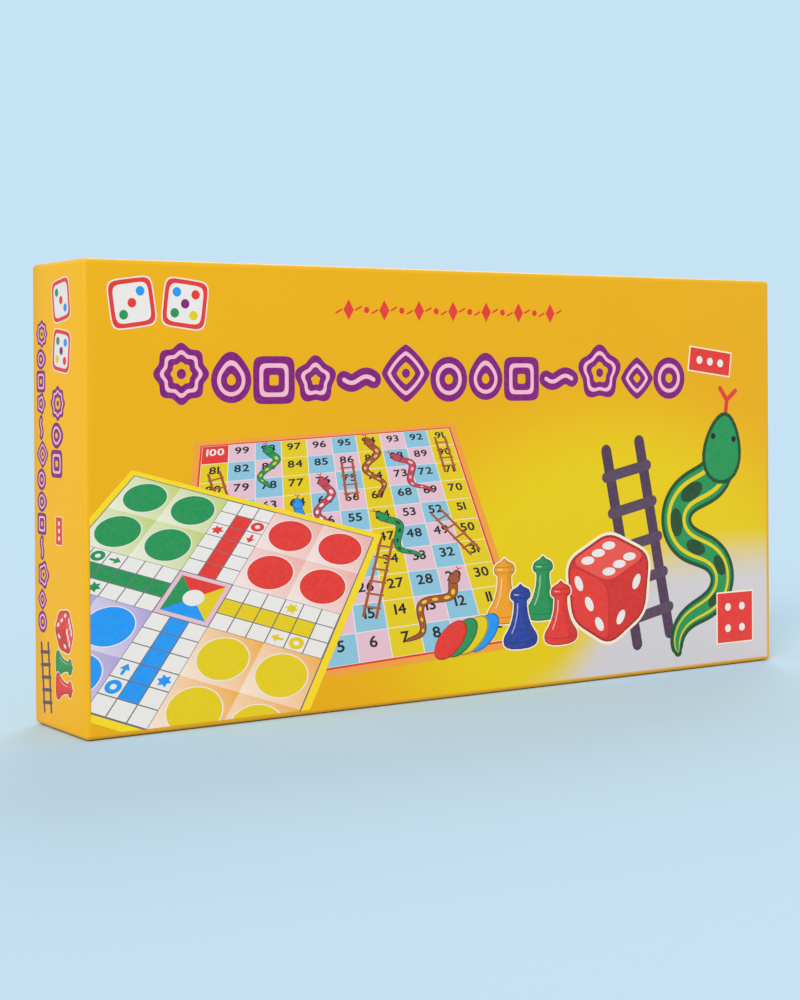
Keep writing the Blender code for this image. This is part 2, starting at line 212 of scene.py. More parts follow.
# %% [markdown]
# ## Light and floor
#
# The photograph is lit softly from all round, with no hard shadow, on a plain pale blue. A few
# area lamps could do that, but they fall off with distance. An even white sky and two wide suns
# are simpler to balance: on a diffuse surface the sky adds its strength, and a sun adds its
# strength over pi times the cosine of its angle. Their sum is kept near one on the front, the
# left end and the top, so a printed colour renders about as it is written.
#
# The camera sees the sky and the floor in the same pale blue, which hides the horizon. Other
# light bounces off a neutral floor, so that the blue doesn't tint the card.

# %% Sky and suns
SKY = 0.55
SUN_WIDTH = math.radians(35)
BACKGROUND = paint(198, 227, 245)
suns = {
    "key_sun": (Vector((-0.55, -0.60, 0.58)), 0.62 * math.pi),
    "fill_sun": (Vector((0.50, 0.60, 0.62)), 0.28 * math.pi),
}
floor_light = SKY
for name, (towards, strength) in suns.items():
    lamp = bpy.data.lights.new(name, "SUN")
    lamp.energy = strength
    lamp.angle = SUN_WIDTH
    holder = bpy.data.objects.new(name, lamp)
    holder.rotation_euler = towards.to_track_quat("Z", "Y").to_euler()
    bpy.context.scene.collection.objects.link(holder)
    floor_light += strength / math.pi * towards.normalized().z

world = bpy.data.worlds.new("even_sky")
world.use_nodes = True
bpy.context.scene.world = world
sky_nodes = world.node_tree.nodes
sky_links = world.node_tree.links
ray = sky_nodes.new("ShaderNodeLightPath")
seen = sky_nodes.new("ShaderNodeBackground")
seen.inputs["Color"].default_value = BACKGROUND
unseen = sky_nodes["Background"]
unseen.inputs["Color"].default_value = (1.0, 1.0, 1.0, 1.0)
unseen.inputs["Strength"].default_value = SKY
either = sky_nodes.new("ShaderNodeMixShader")
sky_links.new(ray.outputs["Is Camera Ray"], either.inputs[0])
sky_links.new(unseen.outputs[0], either.inputs[1])
sky_links.new(seen.outputs[0], either.inputs[2])
sky_links.new(either.outputs[0], sky_nodes["World Output"].inputs[0])
print("light on the floor:", round(floor_light, 3))

# %% Floor
FLOOR_REACH = 40.0
FLOOR_LEVEL = -0.1 * MM
FLOOR_GREY = (0.6, 0.6, 0.6, 1.0)
floor_mesh = bpy.data.meshes.new("floor")
floor_mesh.from_pydata([(x * FLOOR_REACH, y * FLOOR_REACH, FLOOR_LEVEL) for x, y in
                        ((-1, -1), (1, -1), (1, 1), (-1, 1))], [], [(0, 1, 2, 3)])
floor = bpy.data.objects.new("floor", floor_mesh)
bpy.context.scene.collection.objects.link(floor)
floor_finish = Finish("floor_paper", Roughness=1.0, Specular_IOR_Level=0.0)
camera_ray = floor_finish.node("ShaderNodeLightPath", output="Is Camera Ray")
seen_floor = tuple(share / floor_light for share in BACKGROUND[:3]) + (1.0,)
floor_finish.feed(Base_Color=floor_finish.mix(camera_ray, FLOOR_GREY, seen_floor))
floor_mesh.materials.append(floor_finish.material)
print("floor:", 2 * FLOOR_REACH, "m square")

# %% [markdown]
# ## Meshes in plain lists
#
# Most pieces below are worked out point by point. Lists of points and faces are the shortest
# way to hand them to Blender. A second helper turns an object with modifiers into a plain mesh,
# and a third shades it smooth but keeps real corners sharp.

# %% Helpers for meshes and pieces
def mesh_object(name, points, faces, materials=()):
    mesh = bpy.data.meshes.new(name)
    mesh.from_pydata(points, [], faces)
    obj = bpy.data.objects.new(name, mesh)
    bpy.context.scene.collection.objects.link(obj)
    for finish in materials:
        mesh.materials.append(finish.material)
    return obj


def face_outwards(obj):
    """Turns all faces of a closed mesh outwards."""
    bm = bmesh.new()
    bm.from_mesh(obj.data)
    bmesh.ops.recalc_face_normals(bm, faces=bm.faces)
    bm.to_mesh(obj.data)
    bm.free()


def settle(obj):
    """Works out an object's modifiers once, and keeps the result as its mesh."""
    graph = bpy.context.evaluated_depsgraph_get()
    mesh = bpy.data.meshes.new_from_object(obj.evaluated_get(graph))
    obj.modifiers.clear()
    obj.data = mesh


def smooth(obj, angle=30):
    obj.data.polygons.foreach_set("use_smooth", [True] * len(obj.data.polygons))
    obj.data.set_sharp_from_angle(angle=math.radians(angle))


def piece(obj, body, slot, *nodes):
    """Says which body a finished piece rides on and hides the nodes it stands for; slot is not
    used.
    """
    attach(obj, body)
    if nodes:
        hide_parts(*nodes)
    return obj


# %% [markdown]
# ## Finishes of the card
#
# The box is folded from thin card: grey waste paper inside, white paper on its back, and on its
# front a printed sheet under a thin varnish. The varnish makes it semi-gloss and follows the
# fibres below, which shows as a very fine, shallow unevenness. The printed ground runs from
# orange yellow at the upper left through bright yellow to a pale grey lilac at the lower right.

# %% Varnish, liner and cut edge
PRINT_GLOSS = 0.3
FIBRE = 0.6 * MM
FIBRE_DEPTH = 0.012 * MM
VARNISH_PATCH = 20 * MM
VARNISH_SHINY, VARNISH_DULL = 0.32, 0.42


def add_varnish(finish):
    """Fibres under varnish: a fine bump, and a gloss that varies a little."""
    fibres = finish.noise(FIBRE, 3.0)
    patches = finish.noise(VARNISH_PATCH, 2.0)
    finish.bump(fibres, FIBRE_DEPTH, 0.5)
    finish.feed(Roughness=patches * (VARNISH_DULL - VARNISH_SHINY) + VARNISH_SHINY)


def bare_card(name, pale, dark):
    finish = Finish(name, Specular_IOR_Level=0.25)
    fibres = finish.noise(1.2 * MM, 4.0)
    clouds = finish.noise(12 * MM, 2.0)
    blend = finish.ease(fibres * 0.7 + clouds * 0.3, 0.35, 0.65)
    finish.feed(Base_Color=finish.mix(blend, dark, pale), Roughness=fibres * 0.15 + 0.75)
    finish.bump(fibres, 0.03 * MM, 0.6)
    return finish


liner = bare_card("card_liner", paint(222, 220, 212), paint(204, 201, 192))
cut_edge = bare_card("card_cut_edge", paint(190, 182, 166), paint(160, 150, 134))
print("bare card finishes:", liner.material.name, cut_edge.material.name)

# %% Printed ground of the lid and of the base
lid_low, lid_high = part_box("lid")
base_low, base_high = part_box("base")
box_width = lid_high.x - lid_low.x
box_height = lid_high.z - lid_low.z
BRIGHT_MIDDLE = Vector((197.5 * MM, 0.0, 27.8 * MM))
BRIGHT_STRETCH = Vector((0.8, 1.0, 1.15))
MOTTLE = 30 * MM


def wall_print(finish):
    """The plain yellow of all the walls."""
    return finish.mix(finish.noise(MOTTLE, 2.0), paint(252, 192, 0), paint(249, 189, 8))


def picture_print(finish):
    """The ground of the lid's picture, from orange yellow to bright yellow and pale lilac."""
    x, _, z = finish.axes()
    across = x + box_width / 2
    amber = finish.mix(finish.noise(MOTTLE, 2.0), paint(238, 180, 6), paint(236, 177, 10))
    # bright yellow behind the loose pieces, in an oval
    here = finish.node("ShaderNodeCombineXYZ",
                       inputs={0: across * BRIGHT_STRETCH.x, 2: z * BRIGHT_STRETCH.z})
    far = finish.node("ShaderNodeVectorMath", {"operation": "DISTANCE"},
                      {0: here, 1: BRIGHT_MIDDLE * BRIGHT_STRETCH}, 1)
    colour = finish.mix(finish.ease(far, 92 * MM, 48 * MM), amber, paint(236, 209, 4))
    # pale lilac at the lower right, its edge rising to the right
    rise = finish.ease(across, 162 * MM, 222 * MM) * (40 * MM)
    pale = finish.ease(z - rise, 10 * MM, -12 * MM) * finish.ease(across, 150 * MM, 186 * MM)
    colour = finish.mix(pale, colour, paint(215, 215, 221))
    # a darker line of print close to the folds
    beyond_end = abs(x) - (box_width / 2 - 2.4 * MM)
    beyond_edge = abs(z - box_height / 2) - (box_height / 2 - 1.8 * MM)
    fold = finish.ease(beyond_end.above(beyond_edge), -0.2 * MM, 0.6 * MM)
    return finish.mix(fold, colour, paint(236, 180, 24))


def printed_lid():
    finish = Finish("lid_printed_ground", Specular_IOR_Level=PRINT_GLOSS)
    _, y, _ = finish.axes()
    on_wall = finish.ease(y, lid_low.y + 0.3 * MM, lid_low.y + 2.2 * MM)
    colour = finish.mix(on_wall, picture_print(finish), wall_print(finish))
    # painted shade: the walls turn a little darker towards the rim than the rest of the walls
    painted_rim_shade = finish.ease(y, lid_high.y - 9 * MM, lid_high.y) * 0.5
    finish.feed(Base_Color=finish.mix(painted_rim_shade, colour, paint(226, 168, 18)))
    add_varnish(finish)
    return finish


lid_ground = printed_lid()
base_ground = Finish("base_printed_ground", Specular_IOR_Level=PRINT_GLOSS)
base_ground.feed(Base_Color=wall_print(base_ground))
add_varnish(base_ground)
print("ground nodes:", len(lid_ground.tree.nodes))

# %% [markdown]
# ## Folded trays
#
# The lid and the base are the same thing in two sizes: a panel with four walls, scored, folded
# and glued by tabs in the corners. A box shape with rounded folds gives the outside. Solidify
# then gives the card its thickness, and puts the liner on the inside and the cut edge on the
# rim, because it can shift the material number of both. The printed sheet is a thin layer of
# its own, so the card lies a fraction of a millimetre inside the CAD surface.

# %% Folded card tray
CARD = 1.0 * MM
INK_ROOM = 0.15 * MM
FOLD_RADIUS = 1.5 * MM
TAB_LENGTH = 15 * MM
TAB_TAPER = 0.12


def folded_tray(name, low, high, panel_y, rim_y, ground):
    """A card tray between two corners, open at rim_y."""
    inset = Vector((INK_ROOM, 0.0, INK_ROOM))
    low, high = low + inset, high - inset
    inward = math.copysign(1.0, rim_y - panel_y)
    panel_y += inward * INK_ROOM
    corners = [(x, y, z) for y in (panel_y, rim_y) for x, z in
               ((low.x, low.z), (high.x, low.z), (high.x, high.z), (low.x, high.z))]
    faces = [(0, 1, 2, 3)] + [(i, (i + 1) % 4, (i + 1) % 4 + 4, i + 4) for i in range(4)]
    tray = mesh_object(name, corners, faces, (ground, liner, cut_edge))
    bm = bmesh.new()
    bm.from_mesh(tray.data)
    bmesh.ops.recalc_face_normals(bm, faces=bm.faces)
    folds = [edge for edge in bm.edges if not edge.is_boundary]
    bmesh.ops.bevel(bm, geom=folds, offset=FOLD_RADIUS, segments=6, profile=0.5, affect="EDGES")
    outward = max(bm.faces, key=lambda face: face.calc_area())
    if outward.normal.y * inward > 0:
        bmesh.ops.reverse_faces(bm, faces=bm.faces)
    bm.to_mesh(tray.data)
    bm.free()
    solidify = tray.modifiers.new("card", "SOLIDIFY")
    solidify.thickness = CARD - INK_ROOM
    solidify.offset = -1.0
    solidify.use_even_offset = True
    solidify.material_offset = 1
    solidify.material_offset_rim = 2
    settle(tray)
    smooth(tray)
    return tray


def glued_tabs(name, low, high, panel_y, rim_y):
    """The tabs that the long walls fold in behind the short ones, with a slightly rounded end."""
    inward = math.copysign(1.0, rim_y - panel_y)
    near_y = panel_y + inward * 2.0 * MM
    far_y = rim_y - inward * 0.6 * MM
    points, faces = [], []
    for side, wall_x in ((1, low.x), (-1, high.x)):
        outer_x = wall_x + side * (CARD - 0.02 * MM)
        inner_x = wall_x + side * 2 * CARD
        for towards, wall_z in ((1, low.z), (-1, high.z)):
            start_z = wall_z + towards * (CARD - 0.05 * MM)
            end_z = wall_z + towards * (CARD + TAB_LENGTH)
            slope = (end_z - start_z) * TAB_TAPER
            outline = [(near_y, start_z), (far_y, start_z), (far_y, end_z - slope),
                       (far_y - inward * 2 * MM, end_z), (near_y + inward * 3 * MM, end_z),
                       (near_y, end_z - slope)]
            first = len(points)
            count = len(outline)
            points += [(x, y, z) for x in (outer_x, inner_x) for y, z in outline]
            faces.append(tuple(first + i for i in range(count)))
            faces.append(tuple(first + count + i for i in reversed(range(count))))
            faces += [(first + i, first + (i + 1) % count, first + count + (i + 1) % count,
                       first + count + i) for i in range(count)]
    tabs = mesh_object(name, points, faces, (liner,))
    face_outwards(tabs)
    return tabs


lid_tray = piece(folded_tray("lid_tray", lid_low, lid_high, lid_low.y, lid_high.y, lid_ground),
                 "lid", "printed_card", "lid")
piece(folded_tray("base_tray", base_low, base_high, base_high.y, base_low.y, base_ground),
      "base", "base_card", "base")
piece(glued_tabs("lid_tabs", lid_low, lid_high, lid_low.y, lid_high.y), "lid", "printed_card")
piece(glued_tabs("base_tabs", base_low, base_high, base_high.y, base_low.y), "base", "base_card")
print("card trays:", len(lid_tray.data.polygons), "faces each")

# %% [markdown]
# ## Drawing for print
#
# A picture on the card could be an image, but an image needs a file, and a shape made of
# geometry stays sharp at any distance. So each printed shape here is a flat outline in
# millimetres with an ink colour and a layer. Later all outlines of one sheet are pressed into
# thin closed slabs, one layer a hair above the next, as screen-printed inks lie.
#
# `Artwork` collects the outlines. `on` gives the same sheet seen through a placing function, so
# a whole board can be drawn straight and appear tilted in a picture.

# %% The artwork class
def lifted(colour, share):
    """A colour moved towards white, or towards black where share is negative."""
    goal = 1.0 if share > 0 else 0.0
    return tuple(part + (goal - part) * abs(share) for part in colour[:3]) + (1.0,)


class Artwork:
    """Flat shapes for one printed sheet: points, faces, ink colour and layer.

    Each function in keep tells how far a point lies inside a straight edge; shapes stop there.
    """

    def __init__(self, place=None, shapes=None, layer=0, keep=()):
        self.place = place or (lambda point: point)
        self.shapes = [] if shapes is None else shapes
        self.layer = layer
        self.keep = keep

    def on(self, place, layer=0):
        """The same sheet, drawn through a further placing function, some layers up."""
        return Artwork(lambda point: self.place(place(point)), self.shapes, self.layer + layer,
                       self.keep)

    def raised(self, layer):
        """The same sheet, some layers up."""
        return Artwork(self.place, self.shapes, self.layer + layer, self.keep)

    def shape(self, points, faces, colour, layer):
        """Colour is one ink, or a list with the ink at each point."""
        points = [tuple(self.place(point)) for point in points]
        for inside in self.keep:
            if min(map(inside, points), default=0) < 0:
                points, faces, colour = clipped(points, faces, colour, inside)
        if faces:
            self.shapes.append((points, faces, colour, self.layer + layer))

    def fill(self, points, colour, layer=0):
        self.shape(points, [tuple(range(len(points)))], colour, layer)

    def box(self, x, y, width, height, colour, layer=0):
        self.fill([(x, y), (x + width, y), (x + width, y + height), (x, y + height)],
                  colour, layer)

    def disc(self, x, y, radius, colour, layer=0, squash=1.0, steps=28):
        self.fill([(x + radius * math.cos(turn), y + radius * squash * math.sin(turn))
                   for turn in turns(steps)], colour, layer)

    def line(self, path, width, colour, layer=0):
        """A line of even or changing width along a path, with round ends."""
        widths = width if isinstance(width, list) else [width] * len(path)
        sides = []
        for index, point in enumerate(path):
            before = path[max(index - 1, 0)]
            after = path[min(index + 1, len(path) - 1)]
            first = unit(before, point) if before != point else unit(point, after)
            last = unit(point, after) if after != point else first
            along = unit((0, 0), (first[0] + last[0], first[1] + last[1]))
            corner = max(0.6, first[0] * along[0] + first[1] * along[1])
            reach = widths[index] / 2 / corner
            sides.append(((point[0] - along[1] * reach, point[1] + along[0] * reach),
                          (point[0] + along[1] * reach, point[1] - along[0] * reach)))
        points = [side for pair in sides for side in pair]
        count = len(path)
        faces = [(2 * i, 2 * i + 1, 2 * i + 3, 2 * i + 2) for i in range(count - 1)]
        for index, near in ((0, 1), (count - 1, count - 2)):
            faces.append(self.cap(points, path, widths, index, near))
        self.shape(points, faces, colour, layer)

    @staticmethod
    def cap(points, path, widths, index, near):
        """The half disc at one end of a line; it adds its points and gives its face."""
        start = math.atan2(*reversed(unit(path[near], path[index])))
        first, second = (2 * index + 1, 2 * index) if index else (0, 1)
        new = []
        for step in range(1, 6):
            angle = start - math.pi / 2 + step * math.pi / 6
            new.append(len(points))
            points.append((path[index][0] + widths[index] / 2 * math.cos(angle),
                           path[index][1] + widths[index] / 2 * math.sin(angle)))
        return (first, *new, second)

    def band(self, outer, inner, colour, layer=0):
        """The band between two closed outlines that have as many points."""
        count = len(outer)
        faces = [(i, (i + 1) % count, (i + 1) % count + count, i + count) for i in range(count)]
        self.shape(outer + inner, faces, colour, layer)


print("an empty sheet starts on layer", Artwork().layer)

# %% [markdown]
# ## Working on outlines
#
# Some sums come back in every drawing: angles round a circle, a direction between two points,
# an outline that grows by the same distance all round, one with rounded corners, and the part
# of a shape that lies on one side of a cut.

# %% Outline helpers
def turns(steps):
    return [2 * math.pi * step / steps for step in range(steps)]


def unit(start, end):
    x, y = end[0] - start[0], end[1] - start[1]
    length = math.hypot(x, y) or 1.0
    return (x / length, y / length)


def grown(outline, distance):
    """A closed outline moved outwards by a distance all round."""
    pairs = list(zip(outline, outline[1:] + outline[:1]))
    sense = math.copysign(1.0, sum(a[0] * b[1] - b[0] * a[1] for a, b in pairs))
    moved = []
    for index, (point, after) in enumerate(pairs):
        first, last = unit(outline[index - 1], point), unit(point, after)
        along = unit((0, 0), (first[0] + last[0], first[1] + last[1]))
        reach = sense * distance / max(0.5, first[0] * along[0] + first[1] * along[1])
        moved.append((point[0] + along[1] * reach, point[1] - along[0] * reach))
    return moved


def rounded(outline, reach, steps=5):
    """A closed outline whose corners are curves, each from reach before to reach after."""
    points = []
    for index, corner in enumerate(outline):
        back = unit(corner, outline[index - 1])
        on = unit(corner, outline[(index + 1) % len(outline)])
        for t in (step / steps for step in range(steps + 1)):
            points.append(tuple(corner[i] + reach * ((1 - t) ** 2 * back[i] + t * t * on[i])
                                for i in (0, 1)))
    return points


def clipped(points, faces, colour, inside):
    """The part of a flat shape where inside, the distance from a straight edge, isn't negative."""
    inks = colour if isinstance(colour, list) else [colour] * len(points)
    found, new_inks, new_faces = {}, [], []
    for face in faces:
        outline = []
        for index, here in enumerate(face):
            there = face[(index + 1) % len(face)]
            near, far = inside(points[here]), inside(points[there])
            if near >= 0:
                outline.append((points[here], inks[here]))
            if (near >= 0) != (far >= 0):
                share = near / (near - far)
                outline.append((between(points[here], points[there], share),
                                between(inks[here], inks[there], share)))
        numbers = []
        for (x, y), ink in outline:
            number = found.setdefault((round(x, 5), round(y, 5)), len(found))
            if number == len(new_inks):
                new_inks.append(ink)
            if number not in numbers:
                numbers.append(number)
        if len(numbers) > 2:
            new_faces.append(tuple(numbers))
    return list(found), new_faces, new_inks if isinstance(colour, list) else colour


def between(start, end, share):
    """The point or the colour at a share of the way from start to end."""
    return tuple(a + (b - a) * share for a, b in zip(start, end))


print("a grown square:", grown([(0, 0), (1, 0), (1, 1), (0, 1)], 0.5))

# %% [markdown]
# ## From artwork to ink
#
# `press` lifts every outline to the height of its layer and gives it walls down into the sheet,
# so each shape is a closed slab. The ink colour is stored with the points, and one material
# reads it for every print of the set. That way a hundred numbered squares cost one material.

# %% Pressing inks onto a surface
INK_STEP = 0.008 * MM
INK_ROOT = 0.03 * MM
SPECKLE = 0.02
PAPER = paint(240, 238, 230)
inks = Finish("printed_inks", Specular_IOR_Level=PRINT_GLOSS)
ink_colour = inks.node("ShaderNodeAttribute", {"attribute_name": "ink"}, output="Color")
press_speckle = inks.ease(inks.noise(0.9 * MM, 2.0), 0.30, 0.70)
inks.feed(Base_Color=inks.mix(press_speckle * SPECKLE, ink_colour, (1.0, 1.0, 1.0, 1.0)))
add_varnish(inks)


def block(low, high):
    """The corners and faces of a plain block."""
    corners = [(x, y, z) for x in (low[0], high[0]) for y in (low[1], high[1])
               for z in (low[2], high[2])]
    return corners, [(0, 1, 3, 2), (4, 6, 7, 5), (0, 4, 5, 1), (2, 3, 7, 6), (0, 2, 6, 4),
                     (1, 5, 7, 3)]


def press(name, sheets, paper=None):
    """One mesh from several artworks, each with the function that lays it on its surface.

    Paper gives two corners of a blank sheet that lies under the inks.
    """
    points, faces = block(*paper) if paper else ([], [])
    colours = [PAPER] * len(points)
    for artwork, surface in sheets:
        for outline, patches, colour, layer in artwork.shapes:
            top = (layer + 1) * INK_STEP
            first, count = len(points), len(outline)
            points += [surface(x * MM, y * MM, top) for x, y in outline]
            points += [surface(x * MM, y * MM, -INK_ROOT) for x, y in outline]
            colours += (colour if isinstance(colour, list) else [colour] * count) * 2
            edges = {}
            for patch in patches:
                faces.append(tuple(first + i for i in patch))
                faces.append(tuple(first + count + i for i in reversed(patch)))
                for start, end in zip(patch, patch[1:] + patch[:1]):
                    edges[(start, end)] = edges.get((start, end), 0) + 1
            for start, end in edges:
                if (end, start) not in edges:
                    faces.append((first + end, first + start, first + count + start,
                                  first + count + end))
    obj = mesh_object(name, points, faces, (inks,))
    layer = obj.data.color_attributes.new("ink", "FLOAT_COLOR", "POINT")
    layer.data.foreach_set("color", [part for colour in colours for part in colour])
    face_outwards(obj)
    return obj


print("ink nodes:", len(inks.tree.nodes))

# %% [markdown]
# ## Numbers
#
# The squares of the board are numbered. Blender's own font gives the digits: each is turned
# into a flat mesh once, made bolder, and then copied wherever it is needed. Growing an outline
# turns very short edges inside out, so points that nearly touch are joined first.

# %% Digit outlines
DIGIT_GROWTH = 0.022
DIGIT_GAP = 0.07
SHORTEST_EDGE = 0.01


def embolden(bm, distance):
    """Moves every point of a flat filled outline outwards, square to the edges beside it."""
    shifts = []
    for vert in bm.verts:
        sides = []
        for edge in vert.link_edges:
            if edge.is_boundary:
                loop = edge.link_loops[0]
                along = (loop.link_loop_next.vert.co - loop.vert.co).normalized()
                upright = math.copysign(1.0, loop.face.normal.z)
                sides.append(Vector((along.y, -along.x, 0.0)) * upright)
        outwards = sum(sides, Vector()).normalized()
        shifts.append((vert, outwards * distance / max(0.6, outwards.dot(sides[0]))))
    for vert, shift in shifts:
        vert.co += shift


def digit_shape(digit):
    """The points and faces of a bold digit, with its left edge at zero."""
    curve = bpy.data.curves.new("digit", "FONT")
    curve.body = digit
    curve.resolution_u = 3
    holder = bpy.data.objects.new("digit", curve)
    bpy.context.scene.collection.objects.link(holder)
    bpy.context.view_layer.update()
    graph = bpy.context.evaluated_depsgraph_get()
    mesh = bpy.data.meshes.new_from_object(holder.evaluated_get(graph))
    bm = bmesh.new()
    bm.from_mesh(mesh)
    bmesh.ops.remove_doubles(bm, verts=bm.verts, dist=SHORTEST_EDGE)
    bm.verts.index_update()
    bm.normal_update()
    embolden(bm, DIGIT_GROWTH)
    low = min(vert.co.x for vert in bm.verts)
    points = [(vert.co.x - low, vert.co.y) for vert in bm.verts]
    faces = [tuple(vert.index for vert in face.verts) for face in bm.faces]
    bm.free()
    bpy.data.objects.remove(holder)
    return points, faces


digits = {digit: digit_shape(digit) for digit in "0123456789"}
digit_width = {digit: max(x for x, _ in points) for digit, (points, _) in digits.items()}
digit_height = max(y for _, y in digits["1"][0])


def draw_number(art, text, x, y, height, colour, layer):
    """A number centred on x, y."""
    scale = height / digit_height
    width = sum(digit_width[digit] for digit in text) + DIGIT_GAP * (len(text) - 1)
    start = x - width * scale / 2
    for digit in text:
        points, faces = digits[digit]
        art.shape([(start + px * scale, y - height / 2 + py * scale) for px, py in points], faces,
                  colour, layer)
        start += (digit_width[digit] + DIGIT_GAP) * scale


print("digit widths:", [round(width / digit_height, 2) for width in digit_width.values()])

# %% [markdown]
# ## The snakes-and-ladders board
#
# Ten rows of ten squares, numbered to and fro from the lower left corner. Ladders lead up and
# snakes lead down. The figures are the traditional ones, plain and seen from above, and their
# places are this set's own. Everything is drawn in the real board's 254 mm, and the same
# drawing serves the board itself and its small picture on the lid.

# %% Ladders and snakes
BLACK = paint(28, 26, 32)
WHITE = paint(238, 238, 236)
RED = paint(230, 54, 48)
GREEN = paint(22, 150, 84)
BLUE = paint(14, 154, 250)
DARK_GREEN = paint(12, 76, 40)
YELLOW = paint(232, 208, 4)
ROSE = paint(232, 196, 212)
SKY_BLUE = paint(140, 200, 226)
TIMBER = paint(78, 56, 84)
AMBER = paint(244, 164, 24)
NAVY = paint(28, 66, 164)


RUNG_REACH = 1.25


def draw_ladder(art, foot, head, width, colour, rungs, rail, layer=0):
    along = unit(foot, head)
    side = (-along[1] * width / 2, along[0] * width / 2)
    for sign in (-1, 1):
        offset = (side[0] * sign, side[1] * sign)
        art.line([(foot[0] + offset[0], foot[1] + offset[1]),
                  (head[0] + offset[0], head[1] + offset[1])], rail, colour, layer)
    for step in range(rungs):
        x, y = between(foot, head, (step + 0.7) / (rungs + 0.4))
        ends = [(x + side[0] * reach, y + side[1] * reach) for reach in (-RUNG_REACH, RUNG_REACH)]
        art.line(ends, rail * 0.85, lifted(colour, 0.02), layer + 1)


def snake_path(head, tail, wavelength, swing, steps=48):
    """A line from head to tail that swings from side to side."""
    along = unit(head, tail)
    length = math.dist(head, tail)
    path = []
    for step in range(steps + 1):
        share = step / steps
        x, y = between(head, tail, share)
        calm_head = 1 - (1 - min(1.0, 3 * share)) ** 2
        calm_tail = 1 - 0.8 * (1 - min(1.0, 3 * (1 - share))) ** 2
        wave = math.sin(share * length / wavelength * 2 * math.pi)
        sway = swing * min(calm_head, calm_tail) * wave
        path.append((x - along[1] * sway, y + along[0] * sway))
    return path


def winding_path(start, wave, swing, length, steps=90):
    """A line that runs down from start and turns to and fro like a river, by swing degrees."""
    x, y = start
    path = [start]
    stride = length / steps
    for step in range(steps):
        heading = math.radians(-90 - swing * math.sin((step + 0.5) * stride / wave * 2 * math.pi))
        x, y = x + stride * math.cos(heading), y + stride * math.sin(heading)
        path.append((x, y))
    return path


def draw_snake(art, path, width, body, marks, stripe=None):
    """A plain snake seen from above: bands one on another, marks along the back, and a tongue."""
    count = len(path)
    dark = lifted(body, -0.75)
    girth = []
    for share in (index / (count - 1) for index in range(count)):
        neck = 1 - 0.35 * (1 - min(1.0, 9 * share)) ** 2
        girth.append(width * (neck * (1 - share) ** 0.45 + 0.06))
    ahead = unit(path[2], path[0])

    def on_head(forward, sideways):
        return (path[0][0] + width * (ahead[0] * forward - ahead[1] * sideways),
                path[0][1] + width * (ahead[1] * forward + ahead[0] * sideways))

    for sign, layer in ((-1, 0), (1, 1)):
        art.line([on_head(1.1, 0), on_head(1.6, 0), on_head(1.9, 0.3 * sign)], width * 0.14,
                 RED, layer)
    bands = [(1.0, 0.22 * width, dark), (1.0, 0.0, body)]
    if stripe:
        bands += [(0.76, 0.0, stripe), (0.50, 0.0, body)]
    for layer, (share, extra, colour) in enumerate(bands):
        art.line(path, [g * share + extra for g in girth], colour, layer)
    layer = len(bands)
    head = [on_head(0.92 * math.cos(t) + 0.22, (0.62 - 0.16 * math.cos(t)) * math.sin(t))
            for t in turns(24)]
    art.fill(grown(head, 0.11 * width), dark, layer)
    art.fill(head, body, layer + 1)
    for sign in (-1, 1):
        art.disc(*on_head(0.52, 0.40 * sign), width * 0.09, BLACK, layer + 2, steps=12)
    pitch = math.ceil(1.06 * width / math.dist(path[0], path[1]))
    for index in range(round(1.4 * pitch) + 1, count - pitch - 1, pitch):
        x, y = unit(path[index - 1], path[index + 1])
        place = art.on(turned(*path[index], math.degrees(math.atan2(y, x))))
        place.disc(0, 0, girth[index] * 0.46, marks, layer, squash=0.55, steps=14)


print("a winding path ends at:", winding_path((0, 0), 66.0, 70.0, 106.0)[-1])

# %% The numbered board
BOARD = 254.0
FRAME_WIDTH = 7.0
CELL = (BOARD - 2 * FRAME_WIDTH) / 10
CELL_LINE = 0.7
BOARD_RIM = paint(243, 164, 62)
RUST = paint(168, 84, 40)
CRIMSON = paint(200, 66, 90)
LADDERS = ((4, 24), (15, 47), (31, 52), (42, 81), (66, 86), (71, 91))
SNAKES = ((98, 78, GREEN, YELLOW), (94, 67, RUST, paint(226, 190, 120)),
          (88, 69, CRIMSON, paint(240, 190, 190)), (64, 23, BLUE, WHITE),
          (54, 33, GREEN, DARK_GREEN), (29, 7, RUST, YELLOW), (76, 45, CRIMSON, WHITE))


def square_middle(number):
    row, step = divmod(number - 1, 10)
    column = step if row % 2 == 0 else 9 - step
    return (FRAME_WIDTH + (column + 0.5) * CELL, FRAME_WIDTH + (row + 0.5) * CELL)


def square(low, high):
    return [(low, low), (high, low), (high, high), (low, high)]


def draw_numbered_board(art):
    low, high = FRAME_WIDTH, BOARD - FRAME_WIDTH
    side = CELL - CELL_LINE
    art.fill(square(0, BOARD), BOARD_RIM, 0)
    art.fill(square(low, high), WHITE, 1)
    art.band(square(low - 1.6, high + 1.6), square(low, high), RED, 1)
    for number in range(1, 101):
        x, y = square_middle(number)
        last = number == 100
        colour = RED if last else (ROSE, SKY_BLUE, YELLOW)[(number * 2 + (number - 1) // 10) % 3]
        art.box(x - side / 2, y - side / 2, side, side, colour, 2)
        draw_number(art, str(number), x, y + CELL * 0.14, 9.0, WHITE if last else BLACK, 3)
    for foot, head in LADDERS:
        foot, head = square_middle(foot), square_middle(head)
        draw_ladder(art, foot, head, 10.0, RUST, round(math.dist(foot, head) / 12), 2.2, 4)
    for head, tail, body, marks in SNAKES:
        path = snake_path(square_middle(head), square_middle(tail), 47.0, 8.0)
        draw_snake(art.raised(6), path, 6.4, body, marks)


print("ladders:", len(LADDERS), "snakes:", len(SNAKES))

# %% [markdown]
# ## The ludo board
#
# A cross of white squares between four coloured yards, a coloured home column in each arm, and
# four triangles in the middle. It is a traditional board too, fifteen squares each way.

